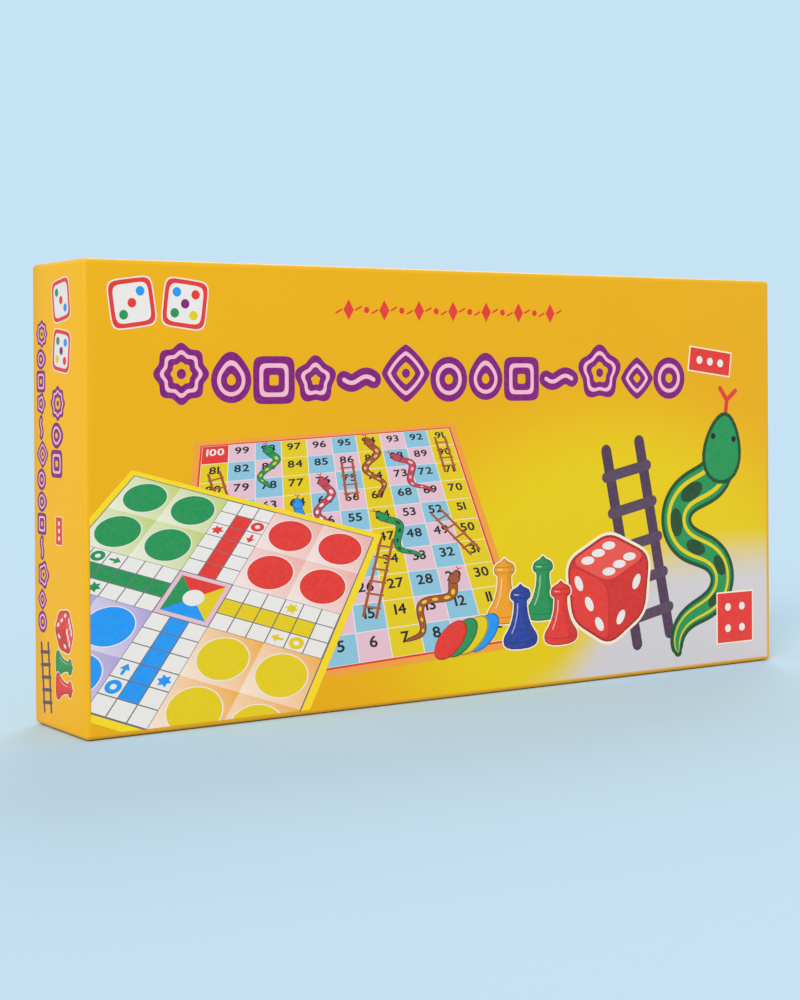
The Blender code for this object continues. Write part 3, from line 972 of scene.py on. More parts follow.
# %% The ludo board
LUDO_EDGE = 7.0
LUDO_CELL = (BOARD - 2 * LUDO_EDGE) / 15
LUDO_RIM = paint(250, 222, 24)


def draw_ludo_board(art):
    """Green lies upper left, red upper right, yellow lower right and blue lower left."""
    art.box(0, 0, BOARD, BOARD, LUDO_RIM, 0)
    cell = LUDO_CELL
    art.box(LUDO_EDGE - 1, LUDO_EDGE - 1, 15 * cell + 2, 15 * cell + 2, paint(110, 110, 118), 2)
    yards = ((0, 9, GREEN, paint(196, 214, 120)), (9, 9, RED, paint(238, 182, 170)),
             (9, 0, YELLOW, paint(244, 178, 70)), (0, 0, BLUE, paint(176, 164, 222)))
    for column, row, colour, tint in yards:
        size = 6 * cell
        corner = (LUDO_EDGE + column * cell, LUDO_EDGE + row * cell)
        pale = lifted(tint, 0.7)
        for across in (0, 1):
            for upward in (0, 1):
                # a quarter fades from pale at its middle side to the tint at its outer corner
                x, y = corner[0] + across * size / 2, corner[1] + upward * size / 2
                quarter = [(x, y), (x + size / 2, y), (x + size / 2, y + size / 2),
                           (x, y + size / 2)]
                fade = [pale, lifted(tint, 0.35), tint, lifted(tint, 0.35)]
                art.shape(quarter, [(0, 1, 2, 3)], fade, 3)
                art.disc(x + size / 4, y + size / 4, size * 0.215, WHITE, 4, steps=40)
                art.disc(x + size / 4, y + size / 4, size * 0.205, colour, 5, steps=40)
    homes = {(7, row): BLUE for row in range(1, 6)}
    homes.update({(7, row): RED for row in range(9, 14)})
    homes.update({(column, 7): GREEN for column in range(1, 6)})
    homes.update({(column, 7): YELLOW for column in range(9, 14)})
    for column in range(15):
        for row in range(15):
            if (6 <= column <= 8) == (6 <= row <= 8):
                continue
            art.box(LUDO_EDGE + (column + 0.03) * cell, LUDO_EDGE + (row + 0.03) * cell,
                    0.94 * cell, 0.94 * cell, homes.get((column, row), WHITE), 3)
    centre = (LUDO_EDGE + 7.5 * cell, LUDO_EDGE + 7.5 * cell)
    middle = square(LUDO_EDGE + 6.03 * cell, LUDO_EDGE + 8.97 * cell)
    art.fill(middle, ROSE, 3)
    for index, colour in enumerate((BLUE, YELLOW, RED, GREEN)):
        base = [between(middle[i], centre, 0.16) for i in (index, (index + 1) % 4)]
        art.fill(base + [centre], colour, 4)
    art.disc(*centre, cell * 0.55, WHITE, 5)
    # each colour's start ring, an arrow in the next square, and the arm's resting square
    for column, row, rest_column, rest_row, colour, turn in (
            (1, 8, 2, 6, GREEN, 0), (8, 13, 6, 12, RED, -90), (13, 6, 12, 8, YELLOW, 180),
            (6, 1, 8, 2, BLUE, 90)):
        place = art.on(turned(LUDO_EDGE + (column + 0.5) * cell, LUDO_EDGE + (row + 0.5) * cell,
                              turn, cell))
        for radius, ink, layer in ((0.38, colour, 4), (0.15, WHITE, 5)):
            place.disc(0, 0, radius, ink, layer)
        place.line([(0.75, 0), (1.0, 0)], 0.16, colour, 4)
        place.fill([(1.0, 0.26), (1.34, 0), (1.0, -0.26)], colour, 5)
        rest = art.on(turned(LUDO_EDGE + (rest_column + 0.5) * cell,
                             LUDO_EDGE + (rest_row + 0.5) * cell, 0, 0.38 * cell))
        reaches = (1.0, 0.55) * 6
        rest.fill([(reach * math.cos(t), reach * math.sin(t))
                   for reach, t in zip(reaches, turns(12))], colour, 4)


print("squares:", 100 + 15 * 15 - 4 * 36 - 9)

# %% [markdown]
# ## Placing a board in a picture
#
# A square seen in perspective becomes a four-sided figure, and one formula maps every point of
# the square into it. Drawing through that formula keeps straight lines straight and makes the
# far squares smaller, as in a photograph of the board.

# %% Perspective placing
def perspective(low_left, low_right, high_right, high_left, size):
    """Maps a square from 0 to size onto four corners."""
    x0, y0 = low_left
    x1, y1 = low_right
    x2, y2 = high_right
    x3, y3 = high_left
    sum_x, sum_y = x0 - x1 + x2 - x3, y0 - y1 + y2 - y3
    right_x, right_y, left_x, left_y = x1 - x2, y1 - y2, x3 - x2, y3 - y2
    area = right_x * left_y - left_x * right_y
    g = (sum_x * left_y - left_x * sum_y) / area
    h = (right_x * sum_y - sum_x * right_y) / area
    a, b = x1 - x0 + g * x1, x3 - x0 + h * x3
    d, e = y1 - y0 + g * y1, y3 - y0 + h * y3

    def placing(point):
        u, v = point[0] / size, point[1] / size
        depth = g * u + h * v + 1
        return ((a * u + b * v + x0) / depth, (d * u + e * v + y0) / depth)

    return placing


def turned(x, y, angle, scale=1.0):
    """Turns about zero by angle in degrees, scales, then moves to x, y."""
    cos, sin = math.cos(math.radians(angle)) * scale, math.sin(math.radians(angle)) * scale
    return lambda point: (x + point[0] * cos - point[1] * sin, y + point[0] * sin + point[1] * cos)


leaning = perspective((0, 0), (10, 0), (8, 6), (2, 6), 1)
print("a square's middle in perspective:", leaning((0.5, 0.5)))

# %% [markdown]
# ## Loose pieces in the picture
#
# The lid shows what the box holds: pawns, counters and a die. Each is a few outlines: a pale
# glow that lifts it off the ground, a body, a darker side and a light streak.

# %% Drawn pawns, counters and die
GLOW = paint(250, 240, 214)
PAWN_OUTLINE = ((0, 1), (0.02, 0.985), (0.055, 0.955), (0.13, 0.925), (0.168, 0.9),
                (0.178, 0.875), (0.19, 0.845), (0.182, 0.8), (0.15, 0.775), (0.124, 0.758),
                (0.116, 0.72), (0.118, 0.65), (0.13, 0.55), (0.155, 0.46), (0.19, 0.37),
                (0.24, 0.29), (0.295, 0.22), (0.32, 0.17), (0.325, 0.13), (0.31, 0.075),
                (0.26, 0.035), (0.16, 0.008), (0, 0))


def draw_pawn(art, x, y, height, colour):
    """A pawn that stands on x, y."""
    place = art.on(turned(x, y, 0, height))
    right = list(PAWN_OUTLINE)
    outline = right + [(-px, py) for px, py in reversed(right[1:-1])]
    shade = [(px * 0.42, py) for px, py in reversed(right[1:-1])]
    for points, ink, layer in ((grown(outline, 0.036), GLOW, 0),
                               (grown(outline, 0.014), lifted(colour, -0.6), 1),
                               (outline, colour, 2), (right + shade, lifted(colour, -0.16), 3)):
        place.fill(points, ink, layer)
    for reach, level, dip in ((0.172, 0.805, 0.016), (0.29, 0.125, 0.035), (0.165, 0.885, 0.012)):
        place.line([(reach * t, level - dip * (1 - t * t)) for t in (-1, -0.6, -0.2, 0.2, 0.6, 1)],
                   0.012, lifted(colour, -0.42), 4)
    for path in (((-0.055, 0.70), (-0.065, 0.55), (-0.11, 0.37), (-0.17, 0.25)),
                 ((-0.12, 0.85), (-0.04, 0.84))):
        place.line(path, 0.022, lifted(colour, 0.4), 4)


def draw_counters(art, x, y, size):
    """Four counters fanned out to the left, each partly on the last."""
    for index, colour in enumerate((BLUE, YELLOW, GREEN, RED)):
        centre = (x - index * size * 0.28, y - index * size * 0.03)
        place = art.on(turned(*centre, 42, size), 2 * index)
        place.disc(0, 0, 0.5, lifted(colour, -0.55), 0, squash=0.56)
        place.disc(-0.01, 0.01, 0.475, colour, 1, squash=0.55)


def draw_die(art, x, y, size):
    """A die seen from one corner: a top and two sides, each a leaning square."""
    place = art.on(turned(x, y, 0, size / 2))
    top = ((-0.96, 0.40), (0.0, -0.04), (0.96, 0.44), (0.0, 0.88))
    left = ((-0.84, -0.66), (0.0, -1.15), (0.0, -0.04), (-0.96, 0.40))
    side = ((0.0, -1.15), (0.84, -0.62), (0.96, 0.44), (0.0, -0.04))
    hull = rounded([left[0], left[1], side[1], side[2], top[3], left[3]], 0.26)
    for distance, colour, layer in ((0.085, GLOW, 0), (0.03, paint(150, 26, 26), 1)):
        place.fill(grown(hull, distance), colour, layer)
    place.fill(hull, paint(206, 42, 40), 2)
    six = [(px, py) for px in (0.24, 0.76) for py in (0.24, 0.5, 0.76)]
    for corners, colour, pips in (
            (top, paint(236, 84, 76), six),
            (left, paint(230, 56, 50), ((0.25, 0.75), (0.5, 0.5), (0.75, 0.25))),
            (side, paint(212, 44, 42), ((0.3, 0.3), (0.7, 0.7)))):
        face = place.on(perspective(*corners, 1.0))
        face.fill(rounded(square(0.025, 0.975), 0.24), colour, 3)
        for px, py in pips:
            face.disc(px, py, 0.115, WHITE, 4, steps=20)


print("pawn outline:", len(PAWN_OUTLINE), "points a side")

# %% [markdown]
# ## A band of ornaments
#
# The lid carries a band of plain ornaments across its top: rosettes, drops, squares, blossoms,
# diamonds, rings and waves. Each is a thick purple band with a thin pink one along its middle.
# Round shapes are bands between two outlines, which never cross themselves, however tight the
# corner is. Thin flourishes, die faces and dotted tags go with them.

# %% Ornament motifs
PURPLE = paint(128, 10, 124)
PINK = paint(246, 190, 212)
STROKE = 3.2
INLINE = 0.75
SMALL, LARGE = 5.0, 7.2
MOTIF_GAP = 0.2
WAVE_REACH = 6.2
WAVE_HEIGHT = 1.1


def even_power(power):
    """The distance to a rounded diamond or square, which power makes fuller."""
    return lambda t: (abs(math.cos(t)) ** power + abs(math.sin(t)) ** power) ** (-1 / power)


ROUND_SHAPES = {
    "diamond": even_power(1.25),
    "square": even_power(6),
    "circle": even_power(2),
    "blossom": lambda t: 0.95 + 0.10 * math.cos(5 * (t - math.pi / 2)),
    "drop": lambda t: 0.94 + 0.24 * max(0.0, math.sin(t)) ** 7,
    "rosette": lambda t: 0.93 + 0.07 * math.cos(8 * t),
}
ROW = (("rosette", LARGE), ("drop", SMALL), ("square", SMALL), ("blossom", SMALL),
       ("wave", WAVE_REACH), ("diamond", LARGE), ("circle", SMALL), ("drop", SMALL),
       ("square", SMALL), ("wave", WAVE_REACH), ("blossom", LARGE), ("diamond", SMALL),
       ("circle", SMALL))


def row_length(row):
    return sum(2 * (radius + STROKE) + MOTIF_GAP for _, radius in row) - MOTIF_GAP


def outline_of(shape, radius, steps=60):
    return [(radius * reach * math.cos(t), radius * reach * math.sin(t))
            for t, reach in ((t, ROUND_SHAPES[shape](t)) for t in turns(steps))]


def draw_motif(art, kind, radius):
    if kind == "wave":
        path = [(radius * t, WAVE_HEIGHT * math.sin(t * math.pi))
                for t in (step / 12 - 1 for step in range(25))]
        art.line(path, 2 * STROKE, PURPLE, 0)
        art.line(path, 2 * INLINE, PINK, 1)
        return
    for half, colour, layer in ((STROKE, PURPLE, 0), (INLINE, PINK, 1)):
        art.band(outline_of(kind, radius + half), outline_of(kind, radius - half), colour, layer)
    if radius == LARGE:
        art.disc(0, 0, 1.7, PURPLE, 0)


def draw_ornament_row(art, x, y, length, row=ROW):
    """A row from x to x + length, standing on the line y."""
    scale = length / row_length(row)
    along = 0.0
    for kind, radius in row:
        along += radius + STROKE
        height = (SMALL if kind == "wave" else radius) + STROKE
        draw_motif(art.on(turned(x + along * scale, y + height * scale, 0, scale)), kind, radius)
        along += radius + STROKE + MOTIF_GAP


print("ornament row:", round(row_length(ROW)), "mm")


# %% Flourishes, die faces and tags
def draw_flourish(art, x, y, length, colour, scale=1.0):
    """A thin line of diamonds, dots and strokes, as printers set under a heading."""
    count = 2 * round(length / (14 * scale)) + 1
    for index in range(count):
        place = art.on(turned(x + (index + 0.5) * length / count, y, 0, scale))
        if index % 2:
            place.disc(0, 0, 1.0, colour, 0, steps=16)
            continue
        place.fill([(0, 3.2), (1.9, 0), (0, -3.2), (-1.9, 0)], colour, 0)
        for sign in (-1, 1):
            place.line([(sign * 2.6, 0), (sign * 4.6, 1.0 * sign)], 0.55, colour, 0)


def draw_die_faces(art, x, y, scale=1.0):
    """Two tilted die faces in a red border."""
    for dx, tilt, pips in ((-8.6, 8, ((-1, -1), (0, 0), (1, 1))),
                           (8.6, -7, ((-1, -1), (1, 1), (-1, 1), (1, -1), (0, 0)))):
        place = art.on(turned(x + dx * scale, y, tilt, scale))
        for half, colour, layer in ((7.4, WHITE, 0), (7.0, RED, 1), (5.7, WHITE, 2)):
            place.fill(outline_of("square", half), colour, layer)
        for (px, py), colour in zip(pips, (GREEN, RED, BLUE, YELLOW, PURPLE)):
            place.disc(px * 3.1, py * 3.1, 1.4, colour, 3, steps=20)


def draw_tag(art, width, height, dots):
    """A red label with white dots; width and height are halves."""
    for extra, colour, layer in ((0.5, GLOW, 0), (0.0, RED, 1)):
        art.box(-width - extra, -height - extra, 2 * (width + extra), 2 * (height + extra),
                colour, layer)
    for x, y in dots:
        art.disc(x, y, 1.4, WHITE, 2, steps=18)


sample = Artwork()
draw_flourish(sample, 0, 0, 86, RED)
print("shapes in a flourish of 86 mm:", len(sample.shapes))

# %% [markdown]
# ## The lid's picture
#
# The front shows both boards, one over the other, then the loose pieces, then a ladder and a
# snake. Everything behind goes on the lower layers of ink and everything before it on the upper
# ones. The ludo board runs over the lower left corner and stops where the flat panel ends.
# Places are in millimetres from the panel's lower left corner.

# %% Front of the lid
NUMBERED_CORNERS = ((26.5, 8.5), (159, 14.5), (129, 88.5), (35.5, 84.5))
LUDO_CORNERS = ((-40.5, 21.5), (64, -18.5), (101, 54), (15, 77))
OVER_NUMBERED = 11
PANEL_EDGE = 1.7
FRONT_PAWNS = ((149, 22.5, AMBER, 4), (165, 22.5, GREEN, 4), (155.5, 13.8, NAVY, 9),
               (172.5, 13.8, RED, 9))
THREE_DOTS = ((-5, 0), (0, 0), (5, 0))
FOUR_DOTS = ((-3.4, 3.8), (3.4, 3.8), (-3.4, -3.8), (3.4, -3.8))


def draw_front(art):
    over = art.raised(OVER_NUMBERED)
    draw_numbered_board(art.on(perspective(*NUMBERED_CORNERS, BOARD)))
    draw_ludo_board(over.on(perspective(*LUDO_CORNERS, BOARD)))
    draw_ornament_row(art, 22, 95.5, 206.5)
    draw_flourish(art, 86, 124.5, 86, RED)
    draw_die_faces(art, 24, 125.3)
    draw_die(art.raised(2), 193.5, 33.5, 37)
    for x, y, colour, layer in FRONT_PAWNS:
        draw_pawn(art.raised(layer), x, y, 21, colour)
    draw_counters(art.raised(9), 140.3, 20.2, 15.5)
    draw_ladder(art, (213.5, 12.5), (200, 79.5), 15, TIMBER, 5, 4.4)
    draw_snake(art.raised(2), winding_path((246, 75), 66.0, 70.0, 102.0), 12.5, GREEN,
               DARK_GREEN, YELLOW)
    draw_tag(over.on(turned(240.5, 108.5, -7)), 9.6, 4.0, THREE_DOTS)
    draw_tag(over.on(turned(252, 17, 0)), 8.4, 8.8, FOUR_DOTS)


front_art = Artwork(keep=(lambda point: point[0] - PANEL_EDGE, lambda point: point[1] - PANEL_EDGE))
draw_front(front_art)
print("front shapes:", len(front_art.shapes))

# %% [markdown]
# ## The lid's walls
#
# The short walls repeat the front's motifs in small, turned so that they read downwards, and
# the long walls carry one row of ornaments. Each drawing is flat; only the function that lays
# it on the card says which wall it is for, so both short walls share one drawing.

# %% Walls of the lid
def draw_end_panel(art):
    """The short wall, to be read downwards: x runs down it and y rises towards the front fold."""
    draw_die_faces(art, 19, 20.5, 0.86)
    draw_ornament_row(art, 36.5, 12.5, 27, ROW[:3])
    draw_ornament_row(art, 17, 2.2, 93)
    draw_tag(art.on(turned(79, 18, 0, 0.5)), 8.0, 4.4, ((-4.4, 0), (0, 0), (4.4, 0)))
    draw_die(art, 108, 22, 13)
    for x, colour, layer in ((118, GREEN, 0), (124.5, RED, 5)):
        draw_pawn(art.raised(layer), x, 15, 12, colour)
    draw_ladder(art, (113, 7), (133, 9), 5, TIMBER, 5, 1.2)


def draw_long_wall(art, length):
    draw_ornament_row(art, 28, 7.5, length - 56)
    draw_flourish(art, 28, 30.5, length - 56, RED, 0.7)


end_art, long_art = Artwork(), Artwork()
draw_end_panel(end_art)
draw_long_wall(long_art, box_width / MM)
lid_prints = press("lid_prints", (
    (front_art, lambda x, y, rise: (lid_low.x + x, lid_low.y + INK_ROOM - rise, y)),
    (end_art, lambda x, y, rise: (lid_low.x + INK_ROOM - rise, lid_high.y - y, lid_high.z - x)),
    (end_art, lambda x, y, rise: (lid_high.x - INK_ROOM + rise, lid_low.y + y, lid_high.z - x)),
    (long_art, lambda x, y, rise: (lid_low.x + x, lid_low.y + y, lid_high.z - INK_ROOM + rise)),
    (long_art, lambda x, y, rise: (lid_low.x + x, lid_high.y - y, lid_low.z + INK_ROOM - rise)),
))
piece(lid_prints, "lid", "printed_card")
print("lid prints:", len(lid_prints.data.polygons), "faces")

# %% [markdown]
# ## Print on the base
#
# The base's panel is the back of the closed box. Such backs show what the box holds, so it gets
# both boards in small, the loose pieces and rows of ornaments, in a thin red frame. Its walls
# only show once the lid is off, and carry one line of small ornaments.

# %% Prints of the base
base_width = (base_high.x - base_low.x) / MM
base_height = (base_high.z - base_low.z) / MM
BACK_MARGIN = 7.0
SMALL_BOARD = 87.0
BOARD_INSET = 14.0
BACK_ROW = 192.0


def draw_back_panel(art):
    for inset, colour, layer in ((BACK_MARGIN, RED, 0),
                                 (BACK_MARGIN + 0.8, paint(246, 208, 56), 1)):
        art.box(inset, inset, base_width - 2 * inset, base_height - 2 * inset, colour, layer)
    over = art.raised(2)
    for draw, x in ((draw_numbered_board, BOARD_INSET),
                    (draw_ludo_board, base_width - BOARD_INSET - SMALL_BOARD)):
        draw(over.on(turned(x, 15, 0, SMALL_BOARD / BOARD)))
    draw_ornament_row(over, (base_width - BACK_ROW) / 2, 108, BACK_ROW)
    draw_die(over, base_width / 2, 79, 30)
    for index, colour in enumerate((RED, GREEN, AMBER, NAVY)):
        x = base_width / 2 + (index - 1.5) * 14.4
        draw_pawn(over, x, 35, 19, colour)
        for radius, ink, layer in ((5.0, lifted(colour, -0.45), 0), (4.6, colour, 1),
                                   (3.1, lifted(colour, 0.12), 2)):
            over.disc(x, 23, radius, ink, layer)


back_art, wall_art, side_art = Artwork(), Artwork(), Artwork()
draw_back_panel(back_art)
draw_flourish(wall_art, 20, 18, base_width - 40, PURPLE)
draw_flourish(side_art, 20, 18, base_height - 40, PURPLE)
base_prints = press("base_prints", (
    (back_art, lambda x, y, rise: (base_high.x - x, base_high.y - INK_ROOM + rise, base_low.z + y)),
    (side_art, lambda x, y, rise: (base_low.x + INK_ROOM - rise, base_high.y - y, base_high.z - x)),
    (side_art, lambda x, y, rise: (base_high.x - INK_ROOM + rise, base_low.y + y, base_high.z - x)),
    (wall_art, lambda x, y, rise: (base_low.x + x, base_low.y + y, base_high.z - INK_ROOM + rise)),
    (wall_art, lambda x, y, rise: (base_low.x + x, base_high.y - y, base_low.z + INK_ROOM - rise)),
))
piece(base_prints, "base", "base_card")
print("base prints:", len(base_prints.data.polygons), "faces")

# %% [markdown]
# ## The folding board
#
# The real board is two pieces of greyboard with a printed sheet glued to each face, joined by a
# strip of bookbinding paper. Each core is a plate with slightly crushed edges. Its fibres lie in
# layers, which show on the cut edge as fine lines. Folded, the snakes faces lie inside.

# %% Greyboard cores
greyboard = Finish("greyboard", Specular_IOR_Level=0.2)
layers = greyboard.noise(2.2 * MM, 4.0, greyboard.stretched(1.0, 16.0, 1.0))
specks = greyboard.noise(0.5 * MM, 3.0)
pulp = greyboard.ease(layers * 0.65 + specks * 0.35, 0.36, 0.62)
greyboard.feed(Base_Color=greyboard.mix(pulp, paint(142, 134, 122), paint(181, 175, 164)),
               Roughness=specks * 0.2 + 0.75)
greyboard.bump(layers * 0.6 + specks * 0.4, 0.06 * MM, 0.8)

CRUSHED_EDGE = 0.25 * MM


def plate(name, low, high, radius, finish):
    """A flat plate with rounded edges."""
    obj = mesh_object(name, *block(low, high), (finish,))
    bm = bmesh.new()
    bm.from_mesh(obj.data)
    bmesh.ops.recalc_face_normals(bm, faces=bm.faces)
    bmesh.ops.bevel(bm, geom=bm.edges[:], offset=radius, segments=3, profile=0.5, affect="EDGES")
    bm.to_mesh(obj.data)
    bm.free()
    smooth(obj, 40)
    return obj


for side in ("back", "front"):
    core = plate("greyboard_" + side, *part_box("board_core_" + side), CRUSHED_EDGE, greyboard)
    piece(core, "board_" + side, "greyboard", "board_core_" + side)
    print("core", side, [round(size / MM, 1) for size in core.dimensions])

# %% [markdown]
# ## Printed sheets of the board
#
# Each face's drawing is made once, for the whole 254 mm, and cut at the fold. A sheet is a thin
# slab of paper with its inks on top, no thicker than the CAD sheet. The two snakes sheets face
# each other, and the two ludo sheets face outwards and are turned over, as on a real board.

# %% Printed sheets
SHEET_PAPER = 0.07 * MM
snakes_art, ludo_art = Artwork(), Artwork()
draw_numbered_board(snakes_art)
draw_ludo_board(ludo_art)
board_low, board_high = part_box("board_core_back")
board_reach = (board_high.z - board_low.z) / MM
sheets = (("snakes", "back", snakes_art, 1, -1), ("snakes", "front", snakes_art, 1, 1),
          ("ludo", "back", ludo_art, -1, 1), ("ludo", "front", ludo_art, -1, -1))


def half_of(art, side):
    """The part of a drawing on one half, measured from the fold: y is 0 at the fold's edge."""
    half = Artwork(keep=(lambda point: point[1],))
    for points, faces, colour, layer in art.shapes:
        if side == "back":
            moved = [(x, y - (BOARD - board_reach)) for x, y in points]
        else:
            moved = [(x, board_reach - y) for x, y in points]
        half.shape(moved, faces, colour, layer)
    return half


for kind, side, art, across, facing in sheets:
    node = f"{kind}_sheet_{side}"
    low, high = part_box(node)
    start_x = low.x if across > 0 else high.x
    root_y = low.y if facing > 0 else high.y
    paper_y = root_y + facing * SHEET_PAPER
    paper = ((low.x, min(root_y, paper_y), low.z), (high.x, max(root_y, paper_y), high.z))

    def lay(x, y, rise):
        return (start_x + across * x, paper_y + facing * rise, low.z + y)

    sheet = press(f"{kind}_print_{side}", ((half_of(art, side), lay),), paper)
    piece(sheet, "board_" + side, kind + "_print", node)
    print(sheet.name, len(sheet.data.polygons), "faces")

# %% [markdown]
# ## The paper spine
#
# Both halves are hinged on a strip of dark bookbinding paper, embossed like linen. Between the
# two folded halves it bows outwards a little, so its section is a shallow arc, drawn out along
# the whole board.

# %% Paper spine
linen = Finish("spine_linen_paper", Specular_IOR_Level=0.3, Roughness=0.6)
THREAD_SCALE = 1400.0
threads = [linen.node("ShaderNodeTexWave", {"bands_direction": direction},
                      {"Vector": linen.place(), "Scale": THREAD_SCALE, "Distortion": 1.5,
                       "Detail": 2.0}, "Fac") for direction in ("X", "Z", "Y")]
weave = threads[0] * 0.4 + threads[1] * 0.3 + threads[2] * 0.3
linen.feed(Base_Color=linen.mix(weave, paint(34, 34, 40), paint(62, 60, 68)))
linen.bump(weave, 0.04 * MM, 0.7)

SPINE_PAPER = 0.12 * MM
spine_low, spine_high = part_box("board_spine")
spine_bow = spine_high.z - spine_low.z - SPINE_PAPER - 0.02 * MM
spine_width = spine_high.y - spine_low.y
section = [(spine_low.y + spine_width * (1 + t) / 2, spine_low.z + spine_bow * t * t)
           for t in (step / 5 - 1 for step in range(11))]
section += [(y, z + SPINE_PAPER) for y, z in reversed(section)]
count = len(section)
ends = [tuple(range(count)), tuple(range(2 * count - 1, count - 1, -1))]
strips = [(i, (i + 1) % count, (i + 1) % count + count, i + count) for i in range(count)]
spine = mesh_object("paper_spine", [(x, y, z) for x in (spine_low.x, spine_high.x)
                                    for y, z in section], ends + strips, (linen,))
face_outwards(spine)
smooth(spine, 40)
piece(spine, "board_spine", "spine_paper", "board_spine")
print("spine bow:", round(spine_bow / MM, 2), "mm")

# %% [markdown]
# ## Moulded plastic
#
# Pawns, counters and die are injection-moulded polystyrene: strong plain colours, glossy, with
# faint flow marks. One function gives all four colours. A little noise in the colour and in the
# gloss keeps them from looking like flat paint, and a very shallow bump gives the ripple that
# highlights on cheap mouldings have.

# %% Plastics
def moulded(name, colour, dull=0.30, shiny=0.16):
    finish = Finish(name, Specular_IOR_Level=0.5)
    flow = finish.noise(6 * MM, 3.0, finish.stretched(0.5, 1.0, 1.0))
    fine = finish.noise(0.7 * MM, 2.0)
    finish.feed(Base_Color=finish.mix(finish.ease(flow, 0.3, 0.7), colour, lifted(colour, -0.14)),
                Roughness=flow * (dull - shiny) + shiny)
    finish.bump(flow * 0.8 + fine * 0.2, 0.03 * MM, 0.5)
    return finish


PLASTICS = {"red": paint(214, 34, 34), "green": paint(24, 146, 70),
            "yellow": paint(240, 196, 28), "blue": paint(26, 84, 190)}
plastics = {name: moulded(name + "_polystyrene", colour) for name, colour in PLASTICS.items()}
pip_paint = moulded("white_pip_paint", paint(240, 240, 236), 0.5, 0.4)
print("plastics:", ", ".join(plastics))

# %% [markdown]
# ## Turned pieces
#
# A pawn and a counter are round, so each is the outline of one side, turned about its axis. The
# mould has two halves, which leave a fine raised line along both sides of a pawn. Three extra
# steps close together on each side make room for that line without thickening the rest.

# %% Turning an outline
PARTING_HEIGHT = 0.05
PARTING_REACH = math.radians(2.2)


def turned_piece(name, outline, steps, matrix, finish, parting=0.0):
    """Turns (radius, height) pairs in millimetres about Z; the outline's ends are on the axis."""
    angles = turns(steps)
    if parting:
        angles = sorted(angles + [math.pi * side + PARTING_REACH * share for side in (0, 1)
                                  for share in (-1, 1)])
    points, faces = [], []
    for radius, height in outline:
        if radius == 0:
            points.append((0.0, 0.0, height))
            continue
        for angle in angles:
            ridge = parting if abs(math.sin(angle)) < 0.001 and radius > 1.0 else 0.0
            reach = radius + ridge
            points.append((reach * math.cos(angle), reach * math.sin(angle), height))
    count = len(angles)
    last_ring = len(points) - 1 - count
    for index in range(count):
        after = (index + 1) % count
        faces.append((0, 1 + index, 1 + after))
        faces.append((len(points) - 1, last_ring + after, last_ring + index))
        for ring in range(len(outline) - 3):
            first = 1 + ring * count
            faces.append((first + index, first + index + count, first + after + count,
                          first + after))
    obj = mesh_object(name, [matrix @ (Vector(point) * MM) for point in points], faces, (finish,))
    face_outwards(obj)
    smooth(obj, 42)
    return obj


def rounded_corner(x, y, radius, start, end, steps=4):
    """Points on a quarter circle about x, y, between two angles in degrees."""
    angles = [math.radians(start + (end - start) * step / steps) for step in range(steps + 1)]
    return [(x + radius * math.cos(angle), y + radius * math.sin(angle)) for angle in angles]


FOOT, SKIRT, COLLAR, NECK, CAP = 2.2, 14.3, 2.4, 0.5, 2.6
FOOT_RADIUS, WAIST_RADIUS, COLLAR_RADIUS, CAP_RADIUS = 6.8, 2.4, 4.0, 3.1
SKIRT_TOP = FOOT + SKIRT
COLLAR_TOP = SKIRT_TOP + COLLAR
CAP_BASE = COLLAR_TOP + NECK
PAWN_HEIGHT = CAP_BASE + CAP
EDGE = 0.5


def pawn_outline():
    """From the tip down the outside, and up again into the hollow foot."""
    tip = ((0.0, 0.0), (0.35, 0.10), (0.8, 0.42), (1.6, 1.08), (2.4, 1.78))
    cap = [(radius, PAWN_HEIGHT - drop) for radius, drop in tip]
    cap += [(2.9, CAP_BASE + 0.30), (CAP_RADIUS, CAP_BASE), (2.95, CAP_BASE - 0.22),
            (CAP_RADIUS - EDGE, COLLAR_TOP)]
    collar = rounded_corner(COLLAR_RADIUS - EDGE, COLLAR_TOP - EDGE, EDGE, 90, 0)
    collar += rounded_corner(COLLAR_RADIUS - EDGE, SKIRT_TOP + EDGE, EDGE, 0, -90)
    skirt = []
    for step in range(18):
        rise = 1 - step / 18
        flare = (FOOT_RADIUS - WAIST_RADIUS) * (1 - rise) ** 1.8
        skirt.append((WAIST_RADIUS + flare, FOOT + rise * SKIRT))
    foot = [(FOOT_RADIUS, FOOT)] + rounded_corner(FOOT_RADIUS - EDGE, EDGE, EDGE, 0, -90)
    hollow = [(5.5, 0.0), (5.3, 0.3), (4.5, 2.6), (3.8, 4.5), (3.0, 6.0), (2.1, 7.2),
              (1.0, 7.85), (0.0, 8.0)]
    return cap + collar + skirt + foot + hollow


COUNTER_RADIUS, COUNTER_HALF, COUNTER_RIM, COUNTER_RECESS, COUNTER_EDGE = 10.0, 1.25, 1.8, 0.4, 0.4


def counter_outline():
    """A raised rim round a shallow recess with a gate mark in its middle, the same both ways."""
    inner = COUNTER_RADIUS - COUNTER_RIM
    level = COUNTER_HALF - COUNTER_RECESS
    top = [(0.0, level - 0.12), (0.7, level - 0.12), (1.1, level), (inner - 0.9, level)]
    top += [(inner - 0.2, level + 0.03), (inner + 0.1, level + 0.15)]
    top += rounded_corner(inner + 0.45, COUNTER_HALF - 0.22, 0.22, 150, 90, 3)
    top += rounded_corner(COUNTER_RADIUS - COUNTER_EDGE, COUNTER_HALF - COUNTER_EDGE,
                          COUNTER_EDGE, 90, 0)
    return top + [(radius, -height) for radius, height in reversed(top)]


print("pawn outline:", len(pawn_outline()), "points; counter:", len(counter_outline()))

# %% [markdown]
# ## Pawns and counters in their wells
#
# The pawns lie with their feet at the outer end of their bay and their tips towards the middle.
# Each CAD node's box says where its piece lies, so no place is written here twice.

